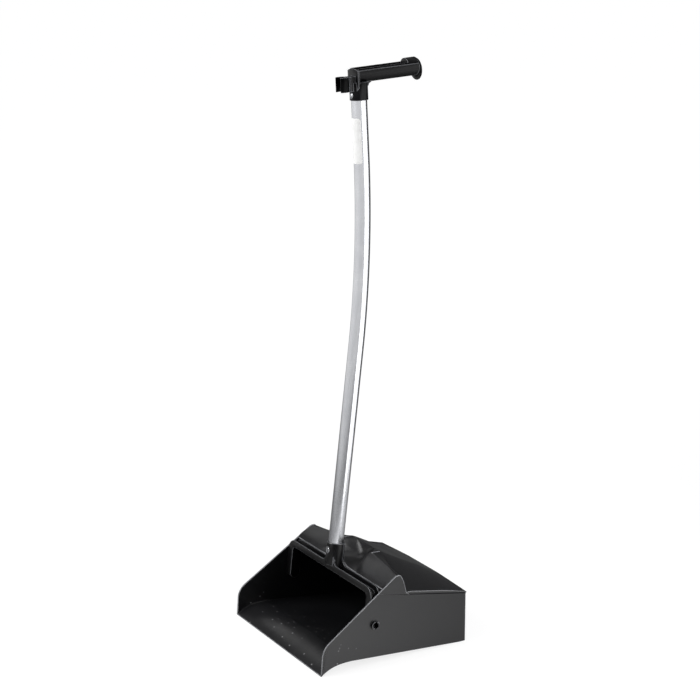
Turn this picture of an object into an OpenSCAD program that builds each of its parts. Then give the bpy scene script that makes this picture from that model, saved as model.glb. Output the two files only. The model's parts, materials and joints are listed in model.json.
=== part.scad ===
// Upright lobby dustpan: a moulded pan with a hood, a yoke that snaps into the
// pan's side walls, a bent aluminium tube, and a trough-shaped grip with a
// spring clip that holds a broom.
// Sizes are in millimetres. +Z is up, the mouth faces -Y, the floor is z = 0.

/* [Pan] */
// Width of the pan at its lip
pan_w = 300; // [260:1:340]
// Depth of the pan from the lip to the back
pan_d = 275; // [240:1:320]
// Width of the pan at its back
back_w = 270; // [230:1:300]
// Height of the back wall
back_h = 86; // [70:1:100]
// Thickness of the moulded walls and the floor
wall = 2.6; // [2:0.1:3.5]
// Thickness of the lip's edge
lip_t = 1; // [0.8:0.1:2]
// Distance from the lip to the top of the ramp
ramp_d = 55; // [40:1:70]
// Height of the floor's underside at the top of the ramp
ramp_h = 14; // [8:0.5:20]
// Length of the flat rest under the back of the floor
rest_d = 12; // [8:1:24]
// Height of the side walls' front edges
front_h = 44.5; // [30:0.5:60]
// Distance that the front edges lean back at their tops
front_set = 3; // [1:0.5:8]
// Radius of the side walls' front corners
corner_r = 30; // [15:1:36]
// Height of the ears
ear_h = 139; // [125:1:155]
// Distance from the lip to the front of the ears' tops
ear_d = 139; // [130:1:150]
// Length of the ears' level tops
ear_top = 5; // [5:0.5:10]
// Radius at the front of the ears' tops
ear_r = 12; // [6:1:16]

/* [Hood] */
// Distance from the lip to the back of the hood's level top
hood_d = 166; // [160:1:185]
// Height of the hood's side edges there
hood_h = 106; // [98:1:114]
// Rise of the hood's top over its side edges there
crown_h = 39.5; // [25:0.5:44]
// Rise of the middle of the hood's back edge over its ends
back_rise = 4; // [1:0.5:6]
// Height of the walls' edges over the hood's skin
edge_step = 0.8; // [0.4:0.1:1.5]
// Distance that the crest recedes from the ears to the pocket
crest_set = 6.5; // [2:0.5:10]
// Width of the pocket behind the crest
pocket_w = 88; // [70:1:120]
// Depth of the pocket from the crest to its rear edge, and of the fall behind the rest of the crest
pocket_d = 17; // [14:0.5:24]
// Height of the pocket's rear wall
pocket_h = 24; // [20:1:30]
// Width over which each side of the pocket slopes
pocket_blend = 8; // [5:0.5:14]
// Width of the crest's top at the pocket
crest_t = 3; // [2:0.5:4]
// Width of the groove that clears the socket
groove_w = 58; // [46:1:70]
// Depth of that groove at the crest
groove_h = 17; // [8:1:18]
// Height of the flat band that the yoke rests against
band_h = 20; // [14:1:28]

/* [Yoke] */
// Distance from the lip to the pivot
pivot_d = 98.5; // [92:0.5:104]
// Height of the pivot
pivot_h = 65.4; // [58:0.1:72]
// Backward lean of the yoke at rest, in degrees
lean = 6.6; // [4:0.1:9]
// Height of the crossbar's top over the pivot
yoke_h = 57.5; // [52:0.5:62]
// Depth of the yoke from front to back
yoke_t = 18; // [16:0.5:22]
// Height of the crossbar
bar_h = 11; // [9:0.5:14]
// Width of an arm
arm_w = 16; // [12:0.5:20]
// Thickness of the yoke's web and flanges
web_t = 2.6; // [2:0.1:3.2]
// Outer radius of the yoke's upper corners
yoke_r = 20; // [16:1:26]
// Inner radius of the yoke's upper corners
yoke_in_r = 8; // [4:1:12]
// Gap between the arms and the pan's walls where they are closest
side_gap = 0.6; // [0.4:0.1:1.5]
// Gap between the resting yoke and the hood
stop_gap = 0.3; // [0.3:0.1:1]
// Outside diameter of the sockets on the yoke and the grip
socket_d = 29; // [28:0.5:33]
// Height of the yoke's socket over the crossbar
socket_h = 34.5; // [28:0.5:45]
// Radius of the gussets behind the socket
gusset_r = 12; // [8:1:18]
// Reach of the ribs beside the socket past its axis
rib_reach = 16; // [15:0.5:19]
// Diameter of the trunnions
trunnion_d = 14; // [12:0.5:16]
// Bore of the hollow trunnions
trunnion_bore = 9.6; // [8:0.1:10]
// Reach of the trunnions past the pan's walls
trunnion_out = 4.6; // [3:0.1:5]
// Height of the snap rim on the trunnions
barb = 0.7; // [0.4:0.1:1]
// Width of the slot that lets a trunnion spring
slot_w = 2.5; // [1.5:0.1:3.5]
// Running clearance on the radius of the trunnions
run_gap = 0.06; // [0.03:0.01:0.1]

/* [Tube] */
// Outside diameter of the tube
tube_d = 25; // [22:0.5:26]
// Wall of the tube
tube_wall = 1.5; // [1:0.1:2]
// Distance from the pivot to the start of the bend
straight_l = 412; // [350:1:460]
// Radius of the bend
bend_r = 1875; // [1200:5:2400]
// Angle of the bend, in degrees
bend_a = 9.5; // [5:0.1:12]
// Length of the tube above the bend, as far as the grip
upper_l = 86.5; // [60:0.5:160]
// Clearance on the radius between the tube and its sockets
fit_gap = 0.05; // [0.02:0.01:0.15]

/* [Grip] */
// Depth of the tube's seat in the grip
grip_seat = 24; // [18:0.5:30]
// Length of the grip behind the tube's axis
grip_l = 106; // [90:1:130]
// Outside width of the trough
grip_w = 29; // [26:0.5:34]
// Outside depth of the trough
grip_h = 19.7; // [18:0.1:26]
// Wall of the trough
grip_wall = 2.8; // [2:0.1:4]
// Upward tilt of the trough from square, in degrees
grip_rise = 1.3; // [0:0.1:4]
// Diameter of the flange at the end of the grip
flange_d = 35; // [33:0.5:42]
// Thickness of the flange's edge
flange_t = 3; // [2:0.5:5]
// Length of the flare before the flange
flare_l = 10; // [6:0.5:14]
// Width of the plate that closes the trough's front
plate_w = 33.4; // [30:0.2:38]
// Width of that plate at its lower end
plate_low_w = 21; // [16:0.5:26]
// Distance from the tube's axis to the plate's front face
plate_set = 9.2; // [8:0.2:12]
// Thickness of the plate
plate_t = 3; // [2:0.1:4]
// Height of the plate over the trough's edges
plate_over = 3; // [1:0.5:5]
// Radius of the fillet under the trough
under_r = 5; // [3:0.5:8]

/* [Broom clip] */
// Inside diameter of the clip
clip_bore = 17.5; // [15:0.5:20]
// Thickness of the clip's prongs
clip_t = 2.3; // [1.8:0.1:3]
// Width of the clip's mouth
clip_mouth = 13.4; // [10:0.2:15]
// Height of the clip
clip_h = 23; // [18:0.5:26]
// Distance from the bottom of the grip to the bottom of the clip
clip_up = 14.5; // [13:0.5:20]
// Distance from the tube's axis to the face that the clip sits on
pad_set = 17.5; // [17:0.1:20]
// Width of the pad that carries the clip
pad_w = 14; // [13:0.5:18]
// Width of the clip's foot at its neck
foot_neck_w = 6.6; // [5:0.1:8]
// Width of the clip's foot at its root
foot_w = 9; // [8:0.1:11]
// Depth of the clip's foot
foot_t = 2.4; // [2:0.1:2.6]

/* [Rivets] */
// Diameter of the rivets' shanks
rivet_d = 4.8; // [4:0.1:5]
// Diameter of the rivets' heads
rivet_head_d = 9.5; // [8:0.1:11]
// Height of the rivets' heads
rivet_head_h = 1.5; // [1:0.1:2]
// Diameter of the rivets' stems
stem_d = 2.7; // [2:0.1:3]
// Diameter of the set end inside the tube
bulb_d = 6.4; // [5.5:0.1:7]
// Length of the set end inside the tube
bulb_l = 3.2; // [2:0.1:5]
// Distance from the yoke socket's rim to its rivet
yoke_rivet_set = 12.5; // [9:0.5:16]
// Distance from the grip's lower rim to its rivet
grip_rivet_set = 8.5; // [7.5:0.5:9]

/* [Hidden] */
tube_fn = 96;
bend_fn = 720;
$fn = tube_fn;
over = 1;
lap = 1;
band_drop = 1;
socket_room = 1;
pocket_draft = 1.5;
spot_gap = 0.4;
barb_gap = 0.3;
barb_end_share = 0.8;
slot_depth = 10;
ring_gap = 0.5;
ring_w = 2;
spot_depth = 1.1;
stem_set = 0.4;
bend_neck = 0.1;
stem_head_d = 4;
stem_head_h = 1.6;
seat_t = 2.4;
lip_y = -pan_d / 2;
pivot_y = lip_y + pivot_d;
tube_r = tube_d / 2;
socket_r = socket_d / 2;
hole_r = tube_r + fit_gap;
ear_back_d = ear_d + ear_top;
ear_end_d = ear_d + ear_top / 2 + pocket_d;
skin_h = back_h - edge_step;

// Shape of the ramp, the hood's crown and the hood's front
ramp_power = 3;
crown_power = 1.2;
fall_power = 2;
arch_share = 0.75;
cove_up_share = 0.36;
cove_back_share = 0.17;
groove_shares = [0, 0.18, 0.36, 0.54, 0.72, 1];
blend_shares = [0, 0.25, 0.5, 0.75, 1];
side_shares = [0.12, 0.28, 0.46, 0.64, 0.8, 0.92, 1];
cove_shares = [0.2, 0.4, 0.6, 0.8, 1];
bottom_shares = [0, 0.32, 0.66, 1];
top_shares = [0.04, 0.1, 0.2, 0.32, 0.48, 0.66, 0.84, 1];

function clamp(v) = min(max(v, 0), 1);
function smooth(v) = clamp(v) * clamp(v) * (3 - 2 * clamp(v));
function turned(r, a) = r * [cos(a), sin(a)];
function arc(c, r, a, b, n = 8) = [for (i = [0 : n]) c + turned(r, a + (b - a) * i / n)];

// Outer half width of the pan at a distance d behind the lip
function half_w(d) = (pan_w - (pan_w - back_w) * d / pan_d) / 2;

// Underside and top of the floor
function under(d) = d < ramp_d ? ramp_h * (1 - pow(1 - d / ramp_d, ramp_power))
    : ramp_h * max(0, pan_d - rest_d - d) / (pan_d - rest_d - ramp_d);
function floor_top(d) = under(d) + wall + (lip_t - wall) * max(0, 1 - d / ramp_d);
floor_ds = [for (i = [0 : 10]) ramp_d * i / 10];

// How far a place across the hood is from the side edge (0) to the level top (1)
hood_half = half_w(ear_d) - wall / 2;
function inward(u) = clamp((1 - u) / (1 - pocket_w / 2 / hood_half));

// Crest of the hood from the ears to the level top: its distance behind the lip and its height
function crest_d(u) = ear_d + ear_top / 2 + crest_set * inward(u);
function crest_h(u) =
    ear_h - edge_step + (hood_base(hood_d) + crown_h - ear_h + edge_step) * inward(u);

// Height of the hood's skin: its side edges, its crown, and the fall from the crest to them
function hood_base(d) = skin_h + (hood_h - back_h) * (pan_d - d) / (pan_d - hood_d);
function crown(d) = d < hood_d ? crown_h - hood_base(d) + hood_base(hood_d)
    : back_rise + (crown_h - back_rise) * (pan_d - d) / (pan_d - hood_d);
function crowned(u, d) = hood_base(d) + crown(d) * (1 - pow(1 - inward(u), crown_power));
function fall(u, d) =
    pow(clamp((d - crest_d(u) - ear_top / 2) / (pocket_d - ear_top / 2)), fall_power);
function skin(u, d) = crest_h(u) + (crowned(u, d) - crest_h(u)) * fall(u, d);

// Places across the hood, from the middle to the middle of a side wall
pocket_in = pocket_w / 2 - pocket_blend;
right_xs = concat(
    [for (s = groove_shares) groove_w / 2 * s],
    [for (s = blend_shares) pocket_in + pocket_blend * s],
    [for (s = side_shares) pocket_w / 2 + (hood_half - pocket_w / 2) * s]);
hood_xs = concat([for (i = [len(right_xs) - 1 : -1 : 1]) -right_xs[i]], right_xs);

// How far into the pocket and the groove a place is
function pocket(x) = smooth((pocket_w / 2 - abs(x)) / pocket_blend);
function groove(x) = (1 + cos(180 * clamp(2 * abs(x) / groove_w))) / 2;

// A point of the resting yoke's side view, as distance behind the lip and height
function leaned(y, z) =
    [pivot_d + z * sin(lean) + y * cos(lean), pivot_h + z * cos(lean) - y * sin(lean)];
band_y = yoke_t / 2 + stop_gap;
band_top = yoke_h - band_drop;
socket_clear = socket_r - yoke_t / 2 + stop_gap + socket_room;

// One line of the hood from its lower front edge over the crest and the pocket to the back
function hood_line(x) =
    let (u = abs(x) / hood_half, b = band_y + socket_clear * groove(x), p = leaned(b, band_top))
    let (d0 = crest_d(u), d1 = d0 + pocket_d, d2 = pan_d - wall / 2)
    let (dip = groove_h * groove(x), c = [d0, skin(u, d0) - dip])
    let (q = [p[0] + (c[0] - p[0]) * cove_back_share, p[1] + (c[1] - p[1]) * cove_up_share])
    let (f0 = d0 + crest_t + pocket_draft, f1 = d1 - pocket_draft)
    concat(
        [leaned(b, band_top - band_h), p],
        [for (t = cove_shares) p * pow(1 - t, 2) + q * 2 * t * (1 - t) + c * pow(t, 2)],
        [[d0 + crest_t, skin(u, d0 + crest_t) - dip]],
        [for (t = bottom_shares) let (d = f0 + (f1 - f0) * t) [d, skin(u, d) - pocket_h * pocket(x)]],
        [for (t = concat([0], top_shares)) let (d = d1 + (d2 - d1) * t) [d, skin(u, d)]]);

// Directions from the outer to the inner skin along that line, in degrees down from +Y:
// at the side edges, beside the pocket and in it
side_turns = [0, 0, 20, 32, 44, 56, 72, 100, 125, 147, 160, 165, 133, 102, 101, 100, 99, 98, 96, 93, 90];
top_turns = [0, 0, 20, 32, 44, 56, 72, 90, 90, 90, 90, 90, 100, 112, 114, 113, 112, 110, 106, 99, 90];
pocket_turns = [0, 0, 20, 32, 44, 56, 72, 135, 150, 90, 90, 35, 55, 112, 114, 113, 112, 110, 106, 99, 90];
function turns(x) = let (a = inward(abs(x) / hood_half), b = pocket(x))
    (side_turns * (1 - a) + top_turns * a) * (1 - b) + pocket_turns * b;

// Frames
bend_end = [-bend_r * (1 - cos(bend_a)), straight_l + bend_r * sin(bend_a)];
grip_axis_h = upper_l + grip_seat + seat_t + grip_w / 2;
grip_edge_h = grip_h - grip_w / 2;
flange_drop = grip_w / 2 - grip_h / 2;
clip_r = clip_bore / 2 + clip_t;
clip_y = -pad_set - fit_gap - clip_r;
clip_z = upper_l + clip_up;
tube_low = yoke_h + seat_t;
arm_x = half_w(leaned(yoke_t / 2, yoke_h)[0]) - wall - side_gap;
trunnion_x = half_w(pivot_d) + trunnion_out;
trunnion_r = trunnion_d / 2;
rivet_hole_r = rivet_d / 2 + fit_gap;
rivet_seat = socket_r - spot_depth;
bulb_end = sqrt(pow(tube_r - tube_wall, 2) - pow(bulb_d / 2, 2)) - fit_gap;

// Node to build: "all", or one of the names above

// Handle's frame: the pivot is its origin, and the straight tube runs along +Z
module handle_frame() {
    translate([0, pivot_y, pivot_h]) rotate([-lean, 0, 0]) children();
}

// Frame of the tube's upper end, which starts where the bend ends
module upper_frame() {
    handle_frame() translate([0, bend_end[0], bend_end[1]]) rotate([bend_a, 0, 0]) children();
}

// Places of the two rivets on the axis of the tube
module at_yoke_rivet() {
    handle_frame() translate([0, 0, yoke_h + socket_h - yoke_rivet_set]) children();
}

module at_grip_rivet() {
    upper_frame() translate([0, 0, upper_l + grip_rivet_set]) children();
}

// Outline of y and z, drawn across a width
module across(w) {
    rotate([90, 0, 90]) linear_extrude(w, center = true) children();
}

// Outline of x and z, drawn along a depth
module along(t) {
    rotate([90, 0, 0]) linear_extrude(t, center = true) children();
}

// Pin or hole that points to the front
module forward(r, from, to) {
    translate([0, -from, 0]) rotate([90, 0, 0]) cylinder(r = r, h = to - from);
}

// Plan of the pan, drawn in by an inset
module plan(inset, front) {
    slope = (pan_w - back_w) / 2 / pan_d;
    side = inset * sqrt(1 + slope * slope);
    back = pan_d - inset;
    polygon([
        [half_w(-front) - side, -front], [half_w(back) - side, back],
        [side - half_w(back), back], [side - half_w(-front), -front]
    ]);
}

// Side view of the pan's walls
module side_outline() {
    rise = atan2(ear_h - front_h, ear_d - front_set);
    edge_a = atan2(front_h, front_set);
    corner_t = corner_r * tan((edge_a - rise) / 2);
    corner = [front_set, front_h] + turned(corner_t, rise) + turned(corner_r, rise - 90);
    ear = [ear_d + ear_r * tan(rise / 2), ear_h - ear_r];
    polygon(concat(
        [for (d = floor_ds) [d, under(d)]],
        [[pan_d - rest_d, 0], [pan_d, 0], [pan_d, back_h]],
        [for (i = [12 : -1 : 0]) let (d = ear_back_d + (ear_end_d - ear_back_d) * i / 12)
            [d, skin(1, d) + edge_step]],
        arc(ear, ear_r, 90, 90 + rise),
        arc(corner, corner_r, 90 + rise, 90 + edge_a)));
}

// Space inside the walls, open to the front and the top
module inside_outline() {
    polygon(concat(
        [[-over, lip_t]],
        [for (d = floor_ds) [d, floor_top(d)]],
        [[pan_d - rest_d, floor_top(pan_d - rest_d)], [pan_d - wall, wall]],
        [[pan_d - wall, ear_h + over], [-over, ear_h + over]]));
}

// Moulded skin of the hood, lofted from its lines
module hood() {
    lines = [for (x = hood_xs) hood_line(x)];
    cols = len(hood_xs);
    rows = len(lines[0]);
    outer = [for (i = [0 : cols - 1]) for (p = lines[i])
        [hood_xs[i] / hood_half * (half_w(p[0]) - wall / 2), p[0] + lip_y, p[1]]];
    inner = [for (i = [0 : cols - 1]) for (j = [0 : rows - 1])
        let (p = lines[i][j] + turned(wall, -turns(hood_xs[i])[j]))
        [hood_xs[i] / hood_half * (half_w(p[0]) - wall / 2), p[0] + lip_y, p[1]]];
    n = cols * rows;
    skins = [for (i = [0 : cols - 2]) for (j = [0 : rows - 2])
        let (a = i * rows + j, b = a + rows) each [
        [a, a + 1, b + 1], [a, b + 1, b],
        [n + a, n + b + 1, n + a + 1], [n + a, n + b, n + b + 1]]];
    ends = [for (j = [0 : rows - 2]) let (a = j, b = (cols - 1) * rows + j) each [
        [a, n + a + 1, a + 1], [a, n + a, n + a + 1],
        [b, b + 1, n + b + 1], [b, n + b + 1, n + b]]];
    edges = [for (i = [0 : cols - 2])
        let (a = i * rows, b = a + rows, c = a + rows - 1, d = c + rows) each [
        [a, b, n + b], [a, n + b, n + a],
        [c, n + d, d], [c, n + c, n + d]]];
    polyhedron(concat(outer, inner), concat(skins, ends, edges), convexity = 10);
}

// Arch of the back wall over its corners, which carries the hood's back edge
module back_arch() {
    w = half_w(pan_d) - wall / 2;
    t = wall * arch_share;
    translate([0, lip_y + pan_d - t / 2, 0]) along(t) polygon(concat(
        [for (x = hood_xs) [x / hood_half * w, crowned(abs(x) / hood_half, pan_d) + edge_step]],
        [[w, back_h - over], [-w, back_h - over]]));
}

module pan() {
    color("dimgray") difference() {
        union() {
            translate([0, lip_y, 0]) difference() {
                intersection() {
                    across(pan_w + over) side_outline();
                    translate([0, 0, -over]) linear_extrude(ear_h + 2 * over) plan(0, 0);
                }
                intersection() {
                    across(pan_w + over) inside_outline();
                    linear_extrude(ear_h + over) plan(wall, 2 * over);
                }
            }
            hood();
            back_arch();
        }
        translate([0, pivot_y, pivot_h]) rotate([0, 90, 0])
            cylinder(r = trunnion_r + run_gap, h = pan_w, center = true);
    }
}

// Front view of the yoke's outer or inner edge, with round upper corners
module yoke_outline(w, top, r) {
    low = -yoke_t;
    translate([-w / 2, low]) square([w, top - r - low]);
    translate([r - w / 2, low]) square([w - 2 * r, top - low]);
    for (s = [-1, 1]) translate([s * (w / 2 - r), top - r]) circle(r);
}

// Side view of the yoke's arms, round at the pivot
module arm_outline(t) {
    circle(t / 2);
    translate([-t / 2, 0]) square([t, yoke_h + over]);
}

// Front view of the gussets that carry a flange up beside the socket
module gusset_outline(reach, r, top) {
    for (s = [0, 1]) mirror([s, 0]) {
        translate([0, yoke_h - web_t]) square([reach, top - yoke_h + web_t]);
        difference() {
            translate([0, yoke_h - web_t]) square([reach + r, r + web_t]);
            translate([reach + r, yoke_h + r]) circle(r);
        }
    }
}

// Hollow, slotted trunnion with a snap rim, on the +X side
module trunnion() {
    rim_x = half_w(pivot_d - trunnion_r - barb) + barb_gap;
    rim_r = trunnion_r + barb;
    end_r = trunnion_r * barb_end_share + barb;
    root_x = arm_x - arm_w;
    difference() {
        rotate([0, 90, 0]) union() {
            translate([0, 0, root_x]) cylinder(r = trunnion_r, h = trunnion_x - root_x);
            translate([0, 0, arm_x - lap]) cylinder(r = trunnion_r + ring_w, h = lap + ring_gap);
            translate([0, 0, rim_x]) cylinder(r1 = rim_r, r2 = end_r, h = trunnion_x - rim_x);
        }
        rotate([0, 90, 0]) translate([0, 0, root_x + web_t]) cylinder(d = trunnion_bore, h = pan_w);
        translate([trunnion_x - slot_depth, -slot_w / 2, -trunnion_d])
            cube([pan_w, slot_w, 2 * trunnion_d]);
    }
}

module yoke() {
    in_w = 2 * (arm_x - arm_w);
    in_top = yoke_h - bar_h;
    rim = yoke_h + socket_h;
    flange_y = (yoke_t - web_t) / 2;
    color("darkslategray") handle_frame() difference() {
        union() {
            difference() {
                intersection() {
                    along(yoke_t) difference() {
                        yoke_outline(2 * arm_x, yoke_h, yoke_r);
                        yoke_outline(in_w, in_top, yoke_in_r);
                    }
                    across(pan_w) arm_outline(yoke_t);
                }
                intersection() {
                    along(yoke_t) difference() {
                        translate([-pan_w / 2, -pan_w / 2]) square(pan_w);
                        yoke_outline(in_w + 2 * web_t, in_top + web_t, yoke_in_r + web_t);
                    }
                    across(pan_w + over) arm_outline(yoke_t - 2 * web_t);
                }
            }
            for (s = [0, 1]) mirror([s, 0, 0]) trunnion();
            intersection() {
                translate([0, 0, in_top]) cylinder(r = socket_r, h = bar_h);
                translate([-pan_w / 2, -yoke_t / 2, 0]) cube([pan_w, yoke_t, yoke_h]);
            }
            translate([0, 0, yoke_h - web_t]) cylinder(r = socket_r, h = rim - yoke_h + web_t);
            translate([0, flange_y, 0]) along(web_t) gusset_outline(rib_reach, gusset_r, rim);
            translate([0, -flange_y, 0]) along(web_t)
                gusset_outline(socket_r - web_t, gusset_r, yoke_h + gusset_r);
        }
        translate([0, 0, tube_low]) cylinder(r = hole_r, h = pan_w);
        translate([0, 0, rim - yoke_rivet_set]) {
            forward(rivet_hole_r, 0, pan_w);
            forward(rivet_head_d / 2 + spot_gap, rivet_seat, pan_w);
        }
    }
}

// Solid run of the tube with a radius, drawn in slightly along the bend
module tube_run(r, extra) {
    lap_a = lap / bend_r * 180 / PI;
    handle_frame() {
        translate([0, 0, tube_low - extra]) cylinder(r = r, h = straight_l - tube_low + extra);
        translate([0, -bend_r, straight_l]) rotate([90, 0, 90]) rotate([0, 0, -lap_a])
            rotate_extrude(angle = bend_a + 2 * lap_a, $fn = bend_fn)
                translate([bend_r, 0]) circle(r - bend_neck, $fn = tube_fn);
    }
    upper_frame() cylinder(r = r, h = upper_l + grip_seat + extra);
}

module handle_tube() {
    color("silver") difference() {
        tube_run(tube_r, 0);
        tube_run(tube_r - tube_wall, over);
        at_yoke_rivet() forward(rivet_hole_r, 0, pan_w);
        at_grip_rivet() forward(rivet_hole_r, 0, pan_w);
    }
}

// Section of the trough, with its edges above the centre of its round bottom
module trough_outline(r, edge) {
    circle(r);
    translate([-r, 0]) square([2 * r, edge]);
}

// Side view of the flared end, as radius and distance along the grip
module flange_outline() {
    r0 = grip_h / 2 - grip_wall;
    r1 = flange_d / 2;
    y0 = grip_l - flange_t - flare_l;
    y1 = grip_l - flange_t;
    edge_r = flange_t / 2;
    difference() {
        translate([0, y0]) square([r1 - edge_r, grip_l - y0]);
        translate([r1 - edge_r, y0]) scale([1, flare_l / (r1 - edge_r - r0)])
            circle(r1 - edge_r - r0);
    }
    translate([r1 - edge_r, y1 + edge_r]) circle(edge_r);
}

// Front view of the plate, arched on top and drawn in below
module plate_outline() {
    edge = grip_axis_h + grip_edge_h;
    arch_r = (pow(plate_w / 2, 2) + pow(plate_over, 2)) / (2 * plate_over);
    polygon([
        [plate_low_w / 2, clip_z], [plate_w / 2, grip_axis_h - grip_w / 2], [plate_w / 2, edge],
        [-plate_w / 2, edge], [-plate_w / 2, grip_axis_h - grip_w / 2], [-plate_low_w / 2, clip_z]
    ]);
    intersection() {
        translate([0, edge + plate_over - arch_r]) circle(arch_r);
        translate([-plate_w / 2, edge - lap]) square([plate_w, plate_over + lap]);
    }
}

// Plan of the clip's foot, which slides down into the grip's pad
module foot_outline(gap) {
    face = -pad_set - fit_gap;
    neck = foot_neck_w / 2 + gap;
    root = foot_w / 2 + gap;
    root_y = face + foot_t + gap;
    polygon([
        [-neck, face - lap], [-neck, face], [-root, root_y],
        [root, root_y], [neck, face], [neck, face - lap]
    ]);
}

module grip() {
    trough_l = grip_l - flange_t + plate_set;
    color("black") upper_frame() difference() {
        union() {
            translate([0, 0, upper_l]) cylinder(r = socket_r, h = grip_seat + seat_t + grip_wall / 2);
            translate([0, 0, grip_axis_h]) rotate([grip_rise, 0, 0]) {
                difference() {
                    translate([0, trough_l / 2 - plate_set + plate_t / 2, 0]) along(trough_l - plate_t)
                        trough_outline(grip_w / 2, grip_edge_h);
                    translate([0, (grip_l - flange_t - flare_l) / 2 - plate_set, 0])
                        along(grip_l - flange_t - flare_l) trough_outline(grip_w / 2 - grip_wall, grip_w);
                }
                translate([0, 0, -flange_drop]) rotate([-90, 0, 0]) rotate_extrude() flange_outline();
            }
            translate([0, plate_t / 2 - plate_set, 0]) along(plate_t) plate_outline();
            translate([-pad_w / 2, -pad_set, clip_z])
                cube([pad_w, pad_set - plate_set + plate_t / 2, clip_h]);
            difference() {
                translate([-pad_w / 2, 0, grip_axis_h - grip_w / 2 - under_r])
                    cube([pad_w, socket_r + under_r, under_r + grip_wall]);
                translate([0, socket_r + under_r, grip_axis_h - grip_w / 2 - under_r])
                    rotate([0, 90, 0]) cylinder(r = under_r, h = 2 * pad_w, center = true);
            }
        }
        translate([0, 0, upper_l - over]) cylinder(r = hole_r, h = grip_seat + over);
        translate([0, 0, clip_z + grip_wall]) linear_extrude(grip_l) foot_outline(fit_gap);
        translate([0, 0, upper_l + grip_rivet_set]) {
            forward(rivet_hole_r, 0, pan_w);
            forward(rivet_head_d / 2 + spot_gap, rivet_seat, pad_set);
        }
    }
}

module broom_clip() {
    tip_a = asin((clip_mouth + clip_t) / (clip_bore + clip_t));
    tip_r = (clip_bore + clip_t) / 2;
    color("darkgreen") upper_frame() translate([0, 0, clip_z]) {
        linear_extrude(clip_h) difference() {
            union() {
                translate([0, clip_y]) circle(clip_r);
                translate([-pad_w / 2, clip_y]) square([pad_w, clip_r]);
            }
            translate([0, clip_y]) circle(d = clip_bore);
            translate([0, clip_y]) polygon([
                [0, 0], clip_bore * [sin(tip_a), -cos(tip_a)], [0, -2 * clip_bore],
                clip_bore * [-sin(tip_a), -cos(tip_a)]
            ]);
        }
        for (s = [-1, 1]) translate([s * tip_r * sin(tip_a), clip_y - tip_r * cos(tip_a), 0])
            cylinder(d = clip_t, h = clip_h);
        translate([0, 0, grip_wall + fit_gap]) linear_extrude(clip_h - grip_wall - fit_gap) difference() {
            foot_outline(0);
            translate([0, clip_y]) circle(d = clip_bore);
        }
    }
}

// Set blind rivet that points to the front, with its head on a spot face
module rivet() {
    crown_r = (pow(rivet_head_d / 2, 2) + pow(rivet_head_h, 2)) / (2 * rivet_head_h);
    difference() {
        union() {
            forward(rivet_d / 2, bulb_end - bulb_l, rivet_seat + rivet_head_h / 2);
            forward(bulb_d / 2, bulb_end - bulb_l, bulb_end);
            intersection() {
                forward(rivet_head_d / 2, rivet_seat, rivet_seat + 2 * rivet_head_h);
                translate([0, crown_r - rivet_seat - rivet_head_h, 0]) sphere(crown_r);
            }
        }
        forward(stem_d / 2 + fit_gap, 0, pan_w);
    }
}

// Broken stem that stays in a set rivet
module rivet_stem() {
    low = bulb_end - bulb_l;
    forward(stem_d / 2, low - lap, rivet_seat + rivet_head_h - stem_set);
    forward(stem_head_d / 2, low - stem_head_h, low);
}

module yoke_rivet() {
    color("lightgray") at_yoke_rivet() rivet();
}

module yoke_rivet_stem() {
    color("gray") at_yoke_rivet() rivet_stem();
}

module grip_rivet() {
    color("lightgray") at_grip_rivet() rivet();
}

module grip_rivet_stem() {
    color("gray") at_grip_rivet() rivet_stem();
}

pan();
yoke();
handle_tube();
grip();
broom_clip();
yoke_rivet();
yoke_rivet_stem();
grip_rivet();
grip_rivet_stem();
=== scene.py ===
"""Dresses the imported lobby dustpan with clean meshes, real finishes, studio light and a camera.

The classes hold sizes in millimetres, and the meshes are in metres. The frame is the CAD model's:
+Z is up, the mouth faces -Y and the floor is z = 0. On the pan, d is a distance behind the lip, and
u is a share of the hood's half width.
"""

import json
import logging
import math
from dataclasses import dataclass
from enum import Enum, IntEnum
from functools import partial
from typing import Any, Callable, ClassVar, Iterable, Sequence

import bmesh
import bpy
from bpy.types import Material, Mesh, Node, NodeSocket, NodeTree, Object
from mathutils import Matrix, Vector
from mathutils.bvhtree import BVHTree

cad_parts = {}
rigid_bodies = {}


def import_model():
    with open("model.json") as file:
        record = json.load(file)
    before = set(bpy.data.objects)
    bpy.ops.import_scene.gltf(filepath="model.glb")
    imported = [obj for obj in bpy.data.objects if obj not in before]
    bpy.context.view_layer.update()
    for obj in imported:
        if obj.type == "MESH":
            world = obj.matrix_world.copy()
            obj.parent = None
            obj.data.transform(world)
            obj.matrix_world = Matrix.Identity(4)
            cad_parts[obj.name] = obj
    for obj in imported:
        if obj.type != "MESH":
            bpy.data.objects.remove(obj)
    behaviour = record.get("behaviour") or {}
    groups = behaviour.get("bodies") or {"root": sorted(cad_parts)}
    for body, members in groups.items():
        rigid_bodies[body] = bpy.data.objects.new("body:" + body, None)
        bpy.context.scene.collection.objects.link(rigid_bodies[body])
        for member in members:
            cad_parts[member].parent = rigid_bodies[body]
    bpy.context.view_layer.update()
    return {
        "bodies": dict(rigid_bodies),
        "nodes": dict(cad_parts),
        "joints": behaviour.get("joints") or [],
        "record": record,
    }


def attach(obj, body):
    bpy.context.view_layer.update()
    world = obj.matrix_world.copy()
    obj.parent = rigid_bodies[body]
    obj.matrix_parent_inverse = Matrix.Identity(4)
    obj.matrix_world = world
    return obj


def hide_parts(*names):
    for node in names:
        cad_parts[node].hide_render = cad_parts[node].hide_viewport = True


MM = 0.001
LOG = logging.getLogger("dustpan")

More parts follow.
